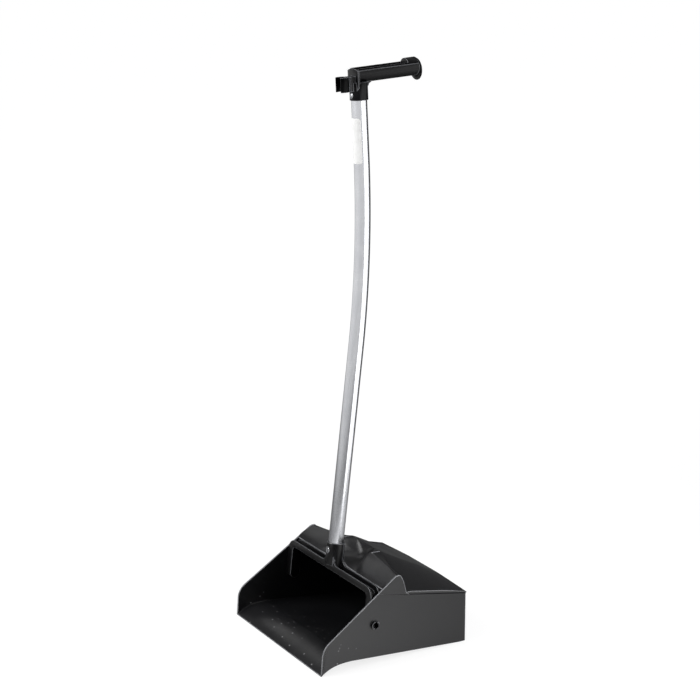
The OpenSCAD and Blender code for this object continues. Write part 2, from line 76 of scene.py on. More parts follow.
BEVEL = "bevel_weight_edge"
INNER_BEVEL = "inner_bevel"
CREASE = "crease_edge"
STRAIGHT = "straight"
ALONG = {"vector_type": "TEXTURE"}
SMOOTH = {"interpolation_type": "SMOOTHSTEP"}
TIMES = {"operation": "MULTIPLY"}
TIMES_PLUS = {"operation": "MULTIPLY_ADD"}
LARGER = {"operation": "MAXIMUM"}
RANGE = ("Value", "From Min", "From Max", "To Min", "To Max")

Point = tuple[float, float, float]
Flat = tuple[float, float]
Inputs = dict[str | int, Any]
AddNode = Callable[..., Node]


class Body(Enum):
    """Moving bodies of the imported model."""

    PAN = "pan"
    HANDLE = "handle"


class Slot(Enum):
    """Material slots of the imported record."""

    PAN = "pan_plastic"
    YOKE = "yoke_plastic"
    TUBE = "tube_aluminium"
    GRIP = "grip_plastic"
    CLIP = "clip_plastic"
    RIVET = "rivet_aluminium"
    STEM = "stem_steel"


class Side(IntEnum):
    """Side walls, by the sign of their x."""

    LEFT = -1
    RIGHT = 1


@dataclass(frozen=True)
class Marks:
    """Rub marks: how far they are stretched along Y, their size and their strength."""

    stretch: float
    size: float
    strength: float


class Wear(Enum):
    """Marks of use on a moulding: rubbed by hands, or scraped along the lip."""

    HANDS = Marks(1.0, 9.0, 0.35)
    LIP = Marks(9.0, 2.2, 0.03)


def linear(hex_colour: str) -> tuple[float, ...]:
    """Turns an sRGB hex colour such as #3b3b3e into linear RGBA."""
    parts = [int(hex_colour[i : i + 2], 16) / 255 for i in (1, 3, 5)]
    return *(c / 12.92 if c <= 0.04045 else ((c + 0.055) / 1.055) ** 2.4 for c in parts), 1.0


def set_inputs(tree: NodeTree, node: Node, inputs: Inputs) -> None:
    """Sets or links a node's inputs.

    Args:
        tree: Node tree of a material, a world or a modifier.
        node: Node in the tree.
        inputs: Values, sockets to link from, or nodes to link from by their first output, by the
            input's name or place.
    """
    for key, value in inputs.items():
        source = value.outputs[0] if isinstance(value, Node) else value
        if isinstance(source, NodeSocket):
            tree.links.new(source, node.inputs[key])
        else:
            node.inputs[key].default_value = source


def add_node(
    tree: NodeTree, kind: str, settings: dict[str, Any] | None = None, inputs: Inputs | None = None
) -> Node:
    """Adds one node with its settings, values and links.

    Args:
        tree: Node tree that takes the node.
        kind: Blender's identifier of the node.
        settings: Properties of the node by name.
        inputs: Its inputs, as for set_inputs.

    Returns:
        The new node.
    """
    node = tree.nodes.new(kind)
    for key, value in (settings or {}).items():
        setattr(node, key, value)
    set_inputs(tree, node, inputs or {})
    return node


def clamped(value: float) -> float:
    """Value kept between 0 and 1."""
    return min(max(value, 0.0), 1.0)


def ease(value: float) -> float:
    """Smooth step from 0 to 1."""
    share = clamped(value)
    return share * share * (3 - 2 * share)


def spaced(start: float, end: float, steps: int) -> list[float]:
    """Evenly spaced values, both ends included."""
    return [start + (end - start) * i / steps for i in range(steps + 1)]


def turned(radius: float, degrees: float) -> Flat:
    """Point on a circle round the origin."""
    return radius * math.cos(math.radians(degrees)), radius * math.sin(math.radians(degrees))


def arc(centre: Flat, radius: float, start: float, end: float, steps: int) -> list[Flat]:
    """Points of an arc in that many chords, with its angles in degrees and both ends included."""
    turns = [turned(radius, angle) for angle in spaced(start, end, steps)]
    return [(centre[0] + x, centre[1] + y) for x, y in turns]


def curve(start: Flat, end: Flat, bend: Flat, shares: Sequence[float]) -> list[Flat]:
    """Points at shares of a curve, which bends at shares of the way from start to end along each axis."""
    parts = [(a, a + (b - a) * s, b) for a, b, s in zip(start, end, bend)]
    return [tuple((1 - t) ** 2 * a + 2 * t * (1 - t) * m + t**2 * b for a, m, b in parts) for t in shares]


def settle(work: bmesh.types.BMesh, mesh: Mesh) -> Mesh:
    """Writes a drawn mesh out with smooth faces and frees it.

    Args:
        work: The drawn mesh.
        mesh: The mesh that takes its shape.

    Returns:
        The same mesh, with the shape.
    """
    for face in work.faces:
        face.smooth = True
    work.to_mesh(mesh)
    work.free()
    return mesh


def link_piece(
    name: str, mesh: Mesh, finishes: Iterable[Material] = ()
) -> Object:
    """Puts a mesh into the scene as an object at the origin.

    Args:
        name: Name of the piece.
        mesh: Its mesh.
        finishes: Materials of its slots in order.

    Returns:
        The new piece.
    """
    for finish in finishes:
        mesh.materials.append(finish)
    piece = bpy.data.objects.new(name, mesh)
    bpy.context.scene.collection.objects.link(piece)
    return piece


def make_plain(piece: Object) -> None:
    """Turns the evaluated object into a plain mesh and removes its modifiers.

    Args:
        piece: Object with its modifiers.
    """
    graph = bpy.context.evaluated_depsgraph_get()
    graph.update()
    mesh = bpy.data.meshes.new_from_object(
        piece.evaluated_get(graph), preserve_all_data_layers=True, depsgraph=graph
    )
    mesh.name = piece.name
    piece.modifiers.clear()
    piece.data = mesh


def turn_out(piece: Object, sharp_from: float = 35.0) -> None:
    """Turns a closed mesh's faces outwards and makes them smooth.

    Args:
        piece: Piece with a closed mesh.
        sharp_from: Angle in degrees from which an edge stays sharp.
    """
    work = bmesh.new()
    work.from_mesh(piece.data)
    bmesh.ops.recalc_face_normals(work, faces=work.faces)
    settle(work, piece.data).set_sharp_from_angle(angle=math.radians(sharp_from))


def new_tree(name: str, kinds: dict[str, str]) -> tuple[NodeTree, Node]:
    """Starts a Geometry Nodes tree with named inputs and one output.

    Args:
        name: Name of the tree.
        kinds: Kind of each input by its name.

    Returns:
        The tree, and the node that gives its inputs.
    """
    tree = bpy.data.node_groups.new(name, "GeometryNodeTree")
    for socket, kind in kinds.items():
        tree.interface.new_socket(socket, in_out="INPUT", socket_type="NodeSocket" + kind)
    tree.interface.new_socket("Geometry", in_out="OUTPUT", socket_type="NodeSocketGeometry")
    return tree, add_node(tree, "NodeGroupInput")


def end_tree(tree: NodeTree, made: Node, finish: NodeSocket) -> None:
    """Ends a Geometry Nodes tree with real meshes in their finish.

    Args:
        tree: The tree.
        made: Node that gives the geometry.
        finish: Socket that gives the material.
    """
    real = add_node(tree, "GeometryNodeRealizeInstances", {}, {"Geometry": made})
    dressed = add_node(tree, "GeometryNodeSetMaterial", {}, {"Geometry": real, "Material": finish})
    add_node(tree, "NodeGroupOutput", {}, {"Geometry": dressed})


def set_nodes(piece: Object, tree: NodeTree, values: dict[str, Any]) -> None:
    """Adds a Geometry Nodes modifier and sets its inputs by their identifiers.

    Args:
        piece: Object that carries the modifier.
        tree: Node tree of the modifier.
        values: Input values by the sockets' names.
    """
    modifier = piece.modifiers.new(tree.name, "NODES")
    modifier.node_group = tree
    for socket in tree.interface.items_tree:
        if socket.in_out == "INPUT" and socket.name in values:
            modifier[socket.identifier] = values[socket.name]


def declare(piece: Object, body: Body, slot: Slot | None, *nodes: str) -> None:
    """Hands a finished piece to the frame.

    Args:
        piece: The finished piece.
        body: Body that it rides on.
        slot: Material slot of the record that it stands for, if it has one; not used.
        nodes: CAD nodes that it stands for.
    """
    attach(piece, body.value)
    if nodes:
        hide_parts(*nodes)
    LOG.info("%s: %d faces on %s, for %s", piece.name, len(piece.data.polygons), body.value, nodes)


def aimed(name: str, data: bpy.types.ID, place: Point, aim: Point) -> Object:
    """Puts a lamp or a camera in its place and turns it to its aim.

    Args:
        name: Name of the object.
        data: The lamp or camera.
        place: Where it stands, in metres.
        aim: Where it looks, in metres.

    Returns:
        The new object.
    """
    holder = bpy.data.objects.new(name, data)
    holder.location = place
    holder.rotation_euler = (Vector(aim) - Vector(place)).to_track_quat("-Z", "Y").to_euler()
    bpy.context.scene.collection.objects.link(holder)
    return holder


class Sketch:
    """Mesh drawn face by face, in which equal points become one vertex."""

    def __init__(self) -> None:
        """Starts an empty mesh."""
        self.mesh = bmesh.new()
        self.verts: dict[tuple[int, ...], bmesh.types.BMVert] = {}

    def vert(self, point: Point) -> bmesh.types.BMVert:
        """Vertex at a point, made once.

        Args:
            point: Place in millimetres, taken to half a thousandth.

        Returns:
            The vertex.
        """
        key = tuple(round(c * 2000) for c in point)
        if key not in self.verts:
            self.verts[key] = self.mesh.verts.new(Vector(point) * MM)
        return self.verts[key]

    def face(self, points: Iterable[Point], finish: int = 0) -> None:
        """Adds a face through points, leaving out those that repeat.

        Args:
            points: Corners in order.
            finish: Index of its material.
        """
        ring = list(dict.fromkeys(self.vert(point) for point in points))
        if len(ring) > 2 and self.mesh.faces.get(ring) is None:
            self.mesh.faces.new(ring).material_index = finish

    def strip(self, first: Sequence[Point], second: Sequence[Point]) -> None:
        """Adds a row of faces between two lines with as many points."""
        for i in range(len(first) - 1):
            self.face([first[i], first[i + 1], second[i + 1], second[i]])

    def mark(self, layer_name: str, points: Sequence[Point], weight: float) -> None:
        """Gives the edges along a line of points a bevel weight or a crease.

        Args:
            layer_name: Name of Blender's edge attribute.
            points: The line's points, which are vertices already.
            weight: Value from 0 to 1.
        """
        layers = self.mesh.edges.layers.float
        layer = layers.get(layer_name) or layers.new(layer_name)
        ring = [self.vert(p) for p in points]
        for a, b in zip(ring, ring[1:]):
            edge = self.mesh.edges.get((a, b)) if a is not b else None
            if edge is not None:
                edge[layer] = weight

    def finish(self, name: str, finishes: Iterable[Material] = ()) -> Object:
        """Makes the piece, with its faces turned outwards and smooth."""
        bmesh.ops.recalc_face_normals(self.mesh, faces=self.mesh.faces)
        return link_piece(name, settle(self.mesh, bpy.data.meshes.new(name)), finishes)


@dataclass(frozen=True)
class Finish:
    """Material whose colour changes where a mask goes from its first stop to its second."""

    name: str
    colour: str
    masked_colour: str
    stops: ClassVar[Flat] = (0.0, 1.0)

    def material(self) -> Material:
        """Builds the node material.

        Returns:
            The material.
        """
        made = bpy.data.materials.new(self.name)
        made.use_nodes = True
        add = partial(add_node, made.node_tree)
        mask, inputs = self.dress(add)
        ramp = add("ShaderNodeValToRGB", {}, {"Fac": mask})
        ends = zip(ramp.color_ramp.elements, self.stops, (self.colour, self.masked_colour))
        for stop, at, colour in ends:
            stop.position, stop.color = at, linear(colour)
        shader = made.node_tree.nodes["Principled BSDF"]
        set_inputs(made.node_tree, shader, {"Base Color": ramp, **inputs})
        return made

    def dress(self, add: AddNode) -> tuple[Node, Inputs]:
        """Adds the material's patterns, and returns the colour's mask and the shader's inputs."""
        raise NotImplementedError


@dataclass(frozen=True)
class MouldedPolypropylene(Finish):
    """Injection-moulded black polypropylene.

    To the eye it is nearly black, with the milky gloss of a spark-eroded mould: a fine grain that
    spreads reflections, slow unevenness from the melt's flow, and paler rubs where it is used.
    The real grain and grit are finer than the render shows, so both are drawn coarser.
    """

    specular: float
    grain_depth: float
    roughness: float = 0.34
    grain_mm: float = 0.9
    wear: Wear = Wear.HANDS
    index: float = 1.49
    grain_height: float = 0.2
    flow_mm: float = 45.0
    flow_span: Flat = (0.3, 0.7)
    uneven: float = 0.05
    dulled: float = 0.18
    rub_span: Flat = (0.56, 0.74)
    fleck_mm: float = 13.0
    fleck_span: Flat = (0.06, 0.14)
    fleck_strength: float = 0.65
    lip_zone: Flat = (-138.0, -20.0)
    floor_zone: Flat = (12.0, 50.0)
    above_floor: float = 0.25

    def dress(self, add: AddNode) -> tuple[Node, Inputs]:
        """Adds the plastic's gloss, grain and rubs.

        Args:
            add: Adds a node to the material.

        Returns:
            The mask of rubbed places, and the shader's inputs.
        """
        place = add("ShaderNodeTexCoord").outputs["Object"]
        grain, flow = (
            add("ShaderNodeTexNoise", {}, {"Vector": place, "Scale": 1 / (size * MM), "Detail": detail})
            for size, detail in ((self.grain_mm, 3.0), (self.flow_mm, 4.0))
        )
        rub = self.made_pale(add, place)
        levels = (flow, *self.flow_span, self.roughness - self.uneven, self.roughness + self.uneven)
        gloss = add("ShaderNodeMapRange", {}, dict(zip(RANGE, levels)))
        dull = add("ShaderNodeMath", TIMES_PLUS, {0: rub, 1: self.dulled, 2: gloss})
        relief = {"Height": grain, "Strength": self.grain_depth, "Distance": self.grain_height * MM}
        bump = add("ShaderNodeBump", {}, relief)
        fixed = {"IOR": self.index, "Specular IOR Level": self.specular}
        return rub, {"Roughness": dull, "Normal": bump, **fixed}

    def made_pale(self, add: AddNode, place: NodeSocket) -> Node:
        """Adds the mask of the rubbed places.

        Args:
            add: Adds a node to the material.
            place: Object coordinates.

        Returns:
            The mask, from 0 to 1.
        """
        marks = self.wear.value
        drawn = add("ShaderNodeMapping", ALONG, {"Vector": place, "Scale": (1.0, marks.stretch, 1.0)})
        rough = {"Vector": drawn, "Scale": 1 / (marks.size * MM), "Detail": 5.0, "Roughness": 0.65}
        # Each row: what is measured, where a mask starts and ends, and its values there.
        rows = [(add("ShaderNodeTexNoise", {}, rough), *self.rub_span, 0.0, marks.strength)]
        if self.wear is Wear.LIP:
            axes = add("ShaderNodeSeparateXYZ", {}, {"Vector": place}).outputs
            grit = add("ShaderNodeTexVoronoi", {}, {"Vector": place, "Scale": 1 / (self.fleck_mm * MM)})
            rows += [
                (grit, *self.fleck_span, self.fleck_strength, 0.0),
                (axes["Y"], *(d * MM for d in self.lip_zone), 1.0, 0.0),
                (axes["Z"], *(z * MM for z in self.floor_zone), 1.0, self.above_floor),
            ]
        masks = [add("ShaderNodeMapRange", SMOOTH, dict(zip(RANGE, row))) for row in rows]
        if self.wear is Wear.HANDS:
            return masks[0]
        worn = add("ShaderNodeMath", LARGER, {0: masks[0], 1: masks[1]})
        zone = add("ShaderNodeMath", TIMES, {0: masks[2], 1: masks[3]})
        return add("ShaderNodeMath", TIMES, {0: worn, 1: zone})


@dataclass(frozen=True)
class EdgeHighlightPolypropylene(MouldedPolypropylene):
    """The same plastic on the edges, glossier, with a pale grey colour that is a painted highlight.

    The grey draws thin light lines round the shapes, in place of the light that rounded edges catch.
    """

    specular: float = 0.7
    grain_depth: float = 0.1
    roughness: float = 0.28
    grain_mm: float = 1.1


@dataclass(frozen=True)
class DrawnMetal(Finish):
    """Drawn and satin anodised aluminium, or plated steel wire.

    To the eye it is a pale grey metal whose lengthwise draw lines smear reflections across. The real
    lines are finer than the render shows, so they are drawn coarser.
    """

    roughness: float
    line_mm: float
    coordinates: str = ""
    line_stretch: float = 80.0
    line_depth: float = 0.12
    line_height: float = 0.05
    line_span: Flat = (0.25, 0.75)
    uneven: float = 0.07
    handled_mm: float = 38.0
    stops: ClassVar[Flat] = (0.35, 0.65)

    def dress(self, add: AddNode) -> tuple[Node, Inputs]:
        """Adds the metal's gloss and draw lines.

        Args:
            add: Adds a node to the material.

        Returns:
            The mask of handled places, and the shader's inputs.
        """
        if self.coordinates:
            place = add("ShaderNodeAttribute", {"attribute_name": self.coordinates}).outputs["Vector"]
        else:
            place = add("ShaderNodeTexCoord").outputs["Object"]
        drawn = add("ShaderNodeMapping", ALONG, {"Vector": place, "Scale": (1.0, 1.0, self.line_stretch)})
        lines, handled = (
            add("ShaderNodeTexNoise", {}, {"Vector": at, "Scale": 1 / (size * MM), "Detail": detail})
            for at, size, detail in ((drawn, self.line_mm, 3.0), (place, self.handled_mm, 5.0))
        )
        levels = (lines, *self.line_span, self.roughness - self.uneven, self.roughness + self.uneven)
        gloss = add("ShaderNodeMapRange", {}, dict(zip(RANGE, levels)))
        relief = {"Height": lines, "Strength": self.line_depth, "Distance": self.line_height * MM}
        bump = add("ShaderNodeBump", {}, relief)
        return handled, {"Metallic": 1.0, "Roughness": gloss, "Normal": bump}


@dataclass(frozen=True)
class LabelFilm(Finish):
    """White vinyl film.

    To the eye it is a soft white with a faint gloss, rubbed slightly grey by hands.
    """

    roughness: float = 0.42
    soil_mm: float = 11.0
    stops: ClassVar[Flat] = (0.3, 0.52)

    def dress(self, add: AddNode) -> tuple[Node, Inputs]:
        """Adds the film's soil, and returns the clean places' mask and the shader's inputs."""
        at = {"Vector": add("ShaderNodeTexCoord").outputs["Object"], "Scale": 1 / (self.soil_mm * MM)}
        return add("ShaderNodeTexNoise", {}, {**at, "Detail": 6.0}), {"Roughness": self.roughness}


# The pan has a soft sheen and pale grit near its lip, and the handle's mouldings look blacker.
PAN_FINISH = MouldedPolypropylene(
    "moulded_polypropylene_pan", "#131315", "#a5a5a8", 0.5, 0.3, grain_mm=1.1, wear=Wear.LIP
)
YOKE_FINISH = MouldedPolypropylene("moulded_polypropylene_yoke", "#0b0b0c", "#18181a", 0.22, 0.2)
GRIP_FINISH = MouldedPolypropylene("moulded_polypropylene_grip", "#08080a", "#131315", 0.14, 0.25)
CLIP_FINISH = MouldedPolypropylene("moulded_polypropylene_clip", "#040405", "#0c0c0d", 0.06, 0.15)
# Painted highlights on the edges: the pan's rim is the palest, and the yoke's ribs and the grip's and clip's
# edges are darker.
RIM_HIGHLIGHT = EdgeHighlightPolypropylene("burnished_polypropylene_rim", "#8a8b8f", "#a0a1a5")
RIB_HIGHLIGHT = EdgeHighlightPolypropylene("burnished_polypropylene_rib", "#5c5d61", "#6e6f73")
EDGE_HIGHLIGHT = EdgeHighlightPolypropylene("handled_polypropylene_edge", "#626367", "#747579", roughness=0.3)
# The tube is satin, the rivets are a little duller, and the steel stems are darker and greyer.
TUBE_FINISH = DrawnMetal("drawn_anodised_aluminium", "#bebfc3", "#c6c7ca", 0.21, 0.35, STRAIGHT)
RIVET_FINISH = DrawnMetal("bright_rivet_aluminium", "#a9aaad", "#b8b9bc", 0.24, 0.4)
STEM_FINISH = DrawnMetal("zinc_plated_steel", "#8b8d92", "#a9abb0", 0.3, 0.4)
LABEL_FINISH = LabelFilm("white_vinyl_film", "#f4f4f2", "#fbfbfa")


# Points along and across the hood's lines, as shares of a stretch, and on the bowl in degrees.
COVE_BEND = (0.12, 0.40)
COVE_SHARES = (0.03, 0.2, 0.4, 0.6, 0.8, 1.0)
CREST_SHARES = (0.0, 0.32, 0.66, 1.0)
BOWL_ANGLES = (8, 17, 27, 37, 47, 56, 64, 72, 79, 85)
BACK_SHARES = (0.0, 0.04, 0.1, 0.2, 0.32, 0.48, 0.66, 0.84)
POCKET_SHARES = (0, 0.11, 0.22, 0.33, 0.44, 0.55, 0.66, 0.76, 0.85, 0.93, 1)
SIDE_SHARES = (0.07, 0.15, 0.24, 0.34, 0.48, 0.64, 0.8, 0.92, 0.965, 1)
# Directions from the hood's outer to its inner skin, row by row, in degrees down from +Y.
FRONT_TURNS = (0, 0, 8, 20, 32, 44, 56, 72)
BACK_TURNS = (113, 112, 110, 106, 99)
SIDE_TURNS = FRONT_TURNS + (100, 125, 147, 160, 165, 133, 102, 101, 100, 99, 98, 96, 93)
TOP_TURNS = FRONT_TURNS + (90, 90, 90, 90, 90, 100, 112, 114) + BACK_TURNS
POCKET_TURNS = (0, 0, 89, 89, 88, 86, 82, 76, 68, 55, 40, 20, 8, 40, 112, 114) + BACK_TURNS
TURNS = tuple(zip(SIDE_TURNS, TOP_TURNS, POCKET_TURNS))
# Rows that form the hood's edges, and how sharp they stay.
FOOT_ROW, FRONT_ROW, CREST_ROW, POCKET_ROW = 1, 7, 8, 13
ROW_CREASES = {FOOT_ROW: 0.6, FRONT_ROW: 0.45, CREST_ROW: 0.3, POCKET_ROW: 0.7}
SHOULDER_CREASE = 0.8


@dataclass
class PanShell:
    """Moulded pan: ramped lip, floor, side walls with ears, back wall, and the hood."""

    width: float = 300.0
    depth: float = 275.0
    back_width: float = 270.0
    back_height: float = 86.0
    wall: float = 2.6
    lip: float = 1.0
    ramp_depth: float = 55.0
    ramp_height: float = 14.0
    ramp_steps: int = 14
    rest_depth: float = 12.0
    front_height: float = 44.5
    front_set: float = 3.0
    corner_radius: float = 30.0
    corner_steps: int = 16
    ear_height: float = 139.0
    ear_depth: float = 139.0
    ear_half: float = 2.5
    ear_radius: float = 12.0
    ear_steps: int = 12
    hood_depth: float = 166.0
    hood_height: float = 106.0
    crown_height: float = 39.5
    crown_power: float = 1.2
    crease_set: float = 2.0
    crease_rise: float = 1.0
    back_rise: float = 4.0
    edge_step: float = 0.8
    crest_set: float = 6.5
    crest_width: float = 3.0
    pocket_width: float = 88.0
    pocket_depth: float = 17.0
    pocket_blend: float = 40.0
    pocket_draft: float = 1.5
    shoulder_edge: float = 1.5
    bowl_spread: float = 36.0
    bowl_rows: int = 5
    bowl_power: float = 0.58
    bowl_lip: float = 1.0
    groove_width: float = 58.0
    band_height: float = 20.0
    pivot_depth: float = 98.5
    pivot_height: float = 65.4
    lean: float = 6.6
    band_set: float = 9.3
    band_top: float = 56.5
    socket_clear: float = 6.8
    bore_radius: float = 7.06
    bore_steps: int = 20
    bead_out: float = 0.6
    bead_rise: float = 3.0
    bead_drop: float = 2.6
    bead_fade: float = 40.0
    bead_start: float = 6.0
    bead_round: float = 1.0
    bead_under: float = 1.2
    bead_gap: float = 0.12
    core_set: float = 2.0
    rim_drop: float = 4.2
    step_start: float = 104.0
    step_end: float = 165.0
    step_out: float = 0.45
    bevel: float = 2.0

    @property
    def hood_half(self) -> float:
        """Half width of the hood at the ears, to the middle of a side wall."""
        return self.half(self.ear_depth) - self.wall / 2

    @property
    def ear_end(self) -> float:
        """Distance behind the lip at which the ears' backs end."""
        return self.ear_depth + self.ear_half + self.pocket_depth

    @property
    def flat(self) -> float:
        """Distance behind the lip at which the rest strip starts."""
        return self.depth - self.rest_depth

    @property
    def inset(self) -> float:
        """Distance across from a side wall's outer to its inner face."""
        return self.wall * math.hypot(1.0, (self.width - self.back_width) / 2 / self.depth)

    def half(self, d: float) -> float:
        """Outer half width at a distance behind the lip."""
        return (self.width - (self.width - self.back_width) * d / self.depth) / 2

    def under(self, d: float) -> float:
        """Height of the floor's underside, which rises over the ramp and falls to the rest strip."""
        fall = clamped((self.flat - d) / (self.flat - self.ramp_depth))
        return self.ramp_height * fall * (1 - (1 - min(d / self.ramp_depth, 1.0)) ** 3)

    def floor(self, d: float) -> float:
        """Height of the floor's top."""
        return self.under(d) + self.wall + (self.lip - self.wall) * max(0.0, 1 - d / self.ramp_depth)

    def hood_base(self, d: float) -> float:
        """Height of the hood's side edges."""
        rise = (self.hood_height - self.back_height) * (self.depth - d) / (self.depth - self.hood_depth)
        return self.back_height - self.edge_step + rise

    def inward(self, u: float) -> float:
        """How far a place is from the side edge (0) to the level top (1)."""
        return clamped((1 - u) / (1 - self.pocket_width / 2 / self.hood_half))

    def crest_depth(self, u: float) -> float:
        """Distance of the crest behind the lip."""
        return self.ear_depth + self.ear_half + self.crest_set * self.inward(u)

    def crest_height(self, u: float) -> float:
        """Height of the crest, which rises straight from the ears to the level top."""
        low = self.ear_height - self.edge_step
        return low + (self.hood_base(self.hood_depth) + self.crown_height - low) * self.inward(u)

    def crowned(self, u: float, d: float) -> float:
        """Height of the crowned skin behind the crest.

        Args:
            u: Share of the half width.
            d: Distance behind the lip.

        Returns:
            The height.
        """
        if d < self.hood_depth:
            crown = self.crown_height - self.hood_base(d) + self.hood_base(self.hood_depth)
        else:
            share = (self.depth - d) / (self.depth - self.hood_depth)
            crown = self.back_rise + (self.crown_height - self.back_rise) * share
        return self.hood_base(d) + crown * (1 - (1 - self.inward(u)) ** self.crown_power)

    def skin(self, u: float, d: float) -> float:
        """Height of the hood's skin at a share of the half width."""
        fall = clamped((d - self.crest_depth(u) - self.ear_half) / (self.pocket_depth - self.ear_half)) ** 2
        return self.crest_height(u) + (self.crowned(u, d) - self.crest_height(u)) * fall

    def leaned(self, y: float, z: float) -> Flat:
        """Point of the resting yoke's side view, as distance and height."""
        cos, sin = turned(1.0, self.lean)
        return self.pivot_depth + z * sin + y * cos, self.pivot_height + z * cos - y * sin

    def in_pocket(self, x: float, spread: float = 0.0) -> float:
        """How far a place is inside the pocket, from 0 to 1, with its edge spread outwards."""
        return ease((self.pocket_width / 2 + spread - abs(x)) / (self.pocket_blend + spread))

    def in_groove(self, x: float) -> float:
        """How far a place is inside the groove, from 0 to 1."""
        share = min(2 * abs(x) / self.groove_width, 1.0)
        return (1 + math.cos(math.pi * share)) / 2

    def hood_line(self, x: float) -> list[Flat]:
        """One line of the hood, from its lower front edge to the bead at the back.

        Args:
            x: Place across the hood at the ears.

        Returns:
            Points as distance behind the lip and height.
        """
        u = abs(x) / self.hood_half
        a = self.inward(u)
        set_back = self.band_set + self.socket_clear * self.in_groove(x)
        foot = self.leaned(set_back, self.band_top)
        front = self.crest_depth(u) + self.crest_width
        end = self.crest_depth(u) + self.pocket_depth
        crease = (
            self.ear_depth + self.ear_half + self.crease_set * a,
            self.ear_height - self.edge_step + self.crease_rise * a,
        )
        cove = curve(foot, crease, COVE_BEND, COVE_SHARES)
        first, last = front + self.pocket_draft, end - self.pocket_draft
        for d in [front] + [first + (last - first) * t for t in CREST_SHARES]:
            cove.append((d, self.skin(u, d)))
        deep, high = end - foot[0], self.skin(u, end) - foot[1]
        bowl = [(foot[0] + self.bowl_lip, foot[1])]
        for degrees in BOWL_ANGLES:
            along, up = (part**self.bowl_power for part in turned(1.0, 90 - degrees))
            bowl.append((foot[0] + deep * along, foot[1] + high * (1 - up)))
        line = [self.leaned(set_back, self.band_top - self.band_height), foot]
        for row, (plain, scooped) in enumerate(zip(cove, bowl)):
            share = self.in_pocket(x, self.bowl_spread * max(0.0, 1 - row / self.bowl_rows))
            line.append(tuple(v + (w - v) * share for v, w in zip(plain, scooped)))
        backs = [end + (self.depth - end) * t for t in BACK_SHARES] + [self.depth - self.bead_start]
        line += [(d, self.skin(u, d)) for d in backs]
        edge, low = self.crowned(u, self.depth), self.hood_base(self.depth) - self.bead_drop
        # Each row of the back bead's section: how far past the back wall, and its height.
        bead = ((-2.2, edge + 0.8), (-0.2, edge + 0.5), (self.bead_out, edge - 0.5),
                (self.bead_out, low + self.bead_round), (-self.bead_under, low))
        return line + [(self.depth + out, z) for out, z in bead]

    def hood_columns(self) -> list[float]:
        """Places across the hood, from one side wall's middle to the other.

        Returns:
            The places from left to right.
        """
        pocket = self.pocket_width / 2
        right = [pocket * s for s in POCKET_SHARES] + [pocket + self.shoulder_edge]
        right += [pocket + (self.hood_half - pocket) * s for s in SIDE_SHARES]
        return [-x for x in right[:0:-1]] + right

    def hood_turns(self, x: float) -> list[float]:
        """Directions from the outer to the inner skin along a line of the hood."""
        a, b = self.inward(abs(x) / self.hood_half), self.in_pocket(x)
        return [(s * (1 - a) + t * a) * (1 - b) + k * b for s, t, k in TURNS]

    def hood_point(self, share: float, d: float, z: float) -> Point:
        """Point of the hood at a share of its half width."""
        return share * (self.half(min(d, self.depth)) - self.wall / 2), d - self.depth / 2, z

    def side_bead(self, side: Side, line: Sequence[Point]) -> tuple[list[list[Point]], list[list[Point]]]:
        """Lines that carry the hood over a side wall in a raised bead behind the ear.

        Args:
            side: The side wall.
            line: The hood's outer line over the middle of the wall.

        Returns:
            Outer lines and inner lines, from the hood outwards.
        """
        # Each row of the bead's section: how far out, its share of the rise, and how far down.
        section = (
            (-self.bead_round, 1.0, 0.0), (0.2, 0.85, 0.1), (self.bead_out, 0.3, 0.6),
            (self.bead_out, 0.0, self.bead_drop - self.bead_round), (-self.bead_under, 0.0, self.bead_drop),
        )
        rims: list[list[Point]] = [[] for _ in section]
        cores: list[list[Point]] = [[] for _ in section]
        for k, (out, share, drop) in enumerate(section):
            for px, py, pz in line:
                d = min(py + self.depth / 2, self.depth)
                x, z = px + side * self.bead_gap * (k + 1), pz
                core_x, core_y = x, py
                if d > self.ear_end + self.bead_round:
                    rise = self.bead_rise * min(1.0, (self.depth - d) / self.bead_fade)
                    z = min(pz + rise, self.hood_base(d) + share * rise - drop)
                    x, core_x = side * (self.half(d) + out), side * (self.half(d) - self.core_set)
                    core_y = min(py, self.depth / 2 - self.core_set)
                rims[k].append((x, py, z))
                cores[k].append((core_x, core_y, z - self.wall))
        return rims, cores

    def hood(self, finishes: Sequence[Material]) -> Object:
        """Builds the hood from its lines, with painted highlights along some edges.

        Args:
            finishes: Materials of the moulding and of its painted edge highlights.

        Returns:
            The hood.
        """
        outer: list[list[Point]] = []
        inner: list[list[Point]] = []
        for x in self.hood_columns():
            line, share = self.hood_line(x), x / self.hood_half
            outer.append([self.hood_point(share, d, z) for d, z in line])
            turns = self.hood_turns(x)
            turns += [90.0] * (len(line) - len(turns))
            shifts = [turned(self.wall, -turn) for turn in turns]
            inner.append([
                self.hood_point(share, min(d + dy, self.depth - self.core_set), z + dz)
                for (d, z), (dy, dz) in zip(line, shifts)
            ])
        left, left_core = self.side_bead(Side.LEFT, outer[0])
        right, right_core = self.side_bead(Side.RIGHT, outer[-1])
        outer = left[::-1] + outer + right
        inner = left_core[::-1] + inner + right_core
        sketch = Sketch()
        for a, b in zip(inner, inner[1:]):
            sketch.strip(a, b)
        beads = (len(left) - 2, len(outer) - len(right))
        pocket, edge = self.pocket_width / 2, self.shoulder_edge / 2
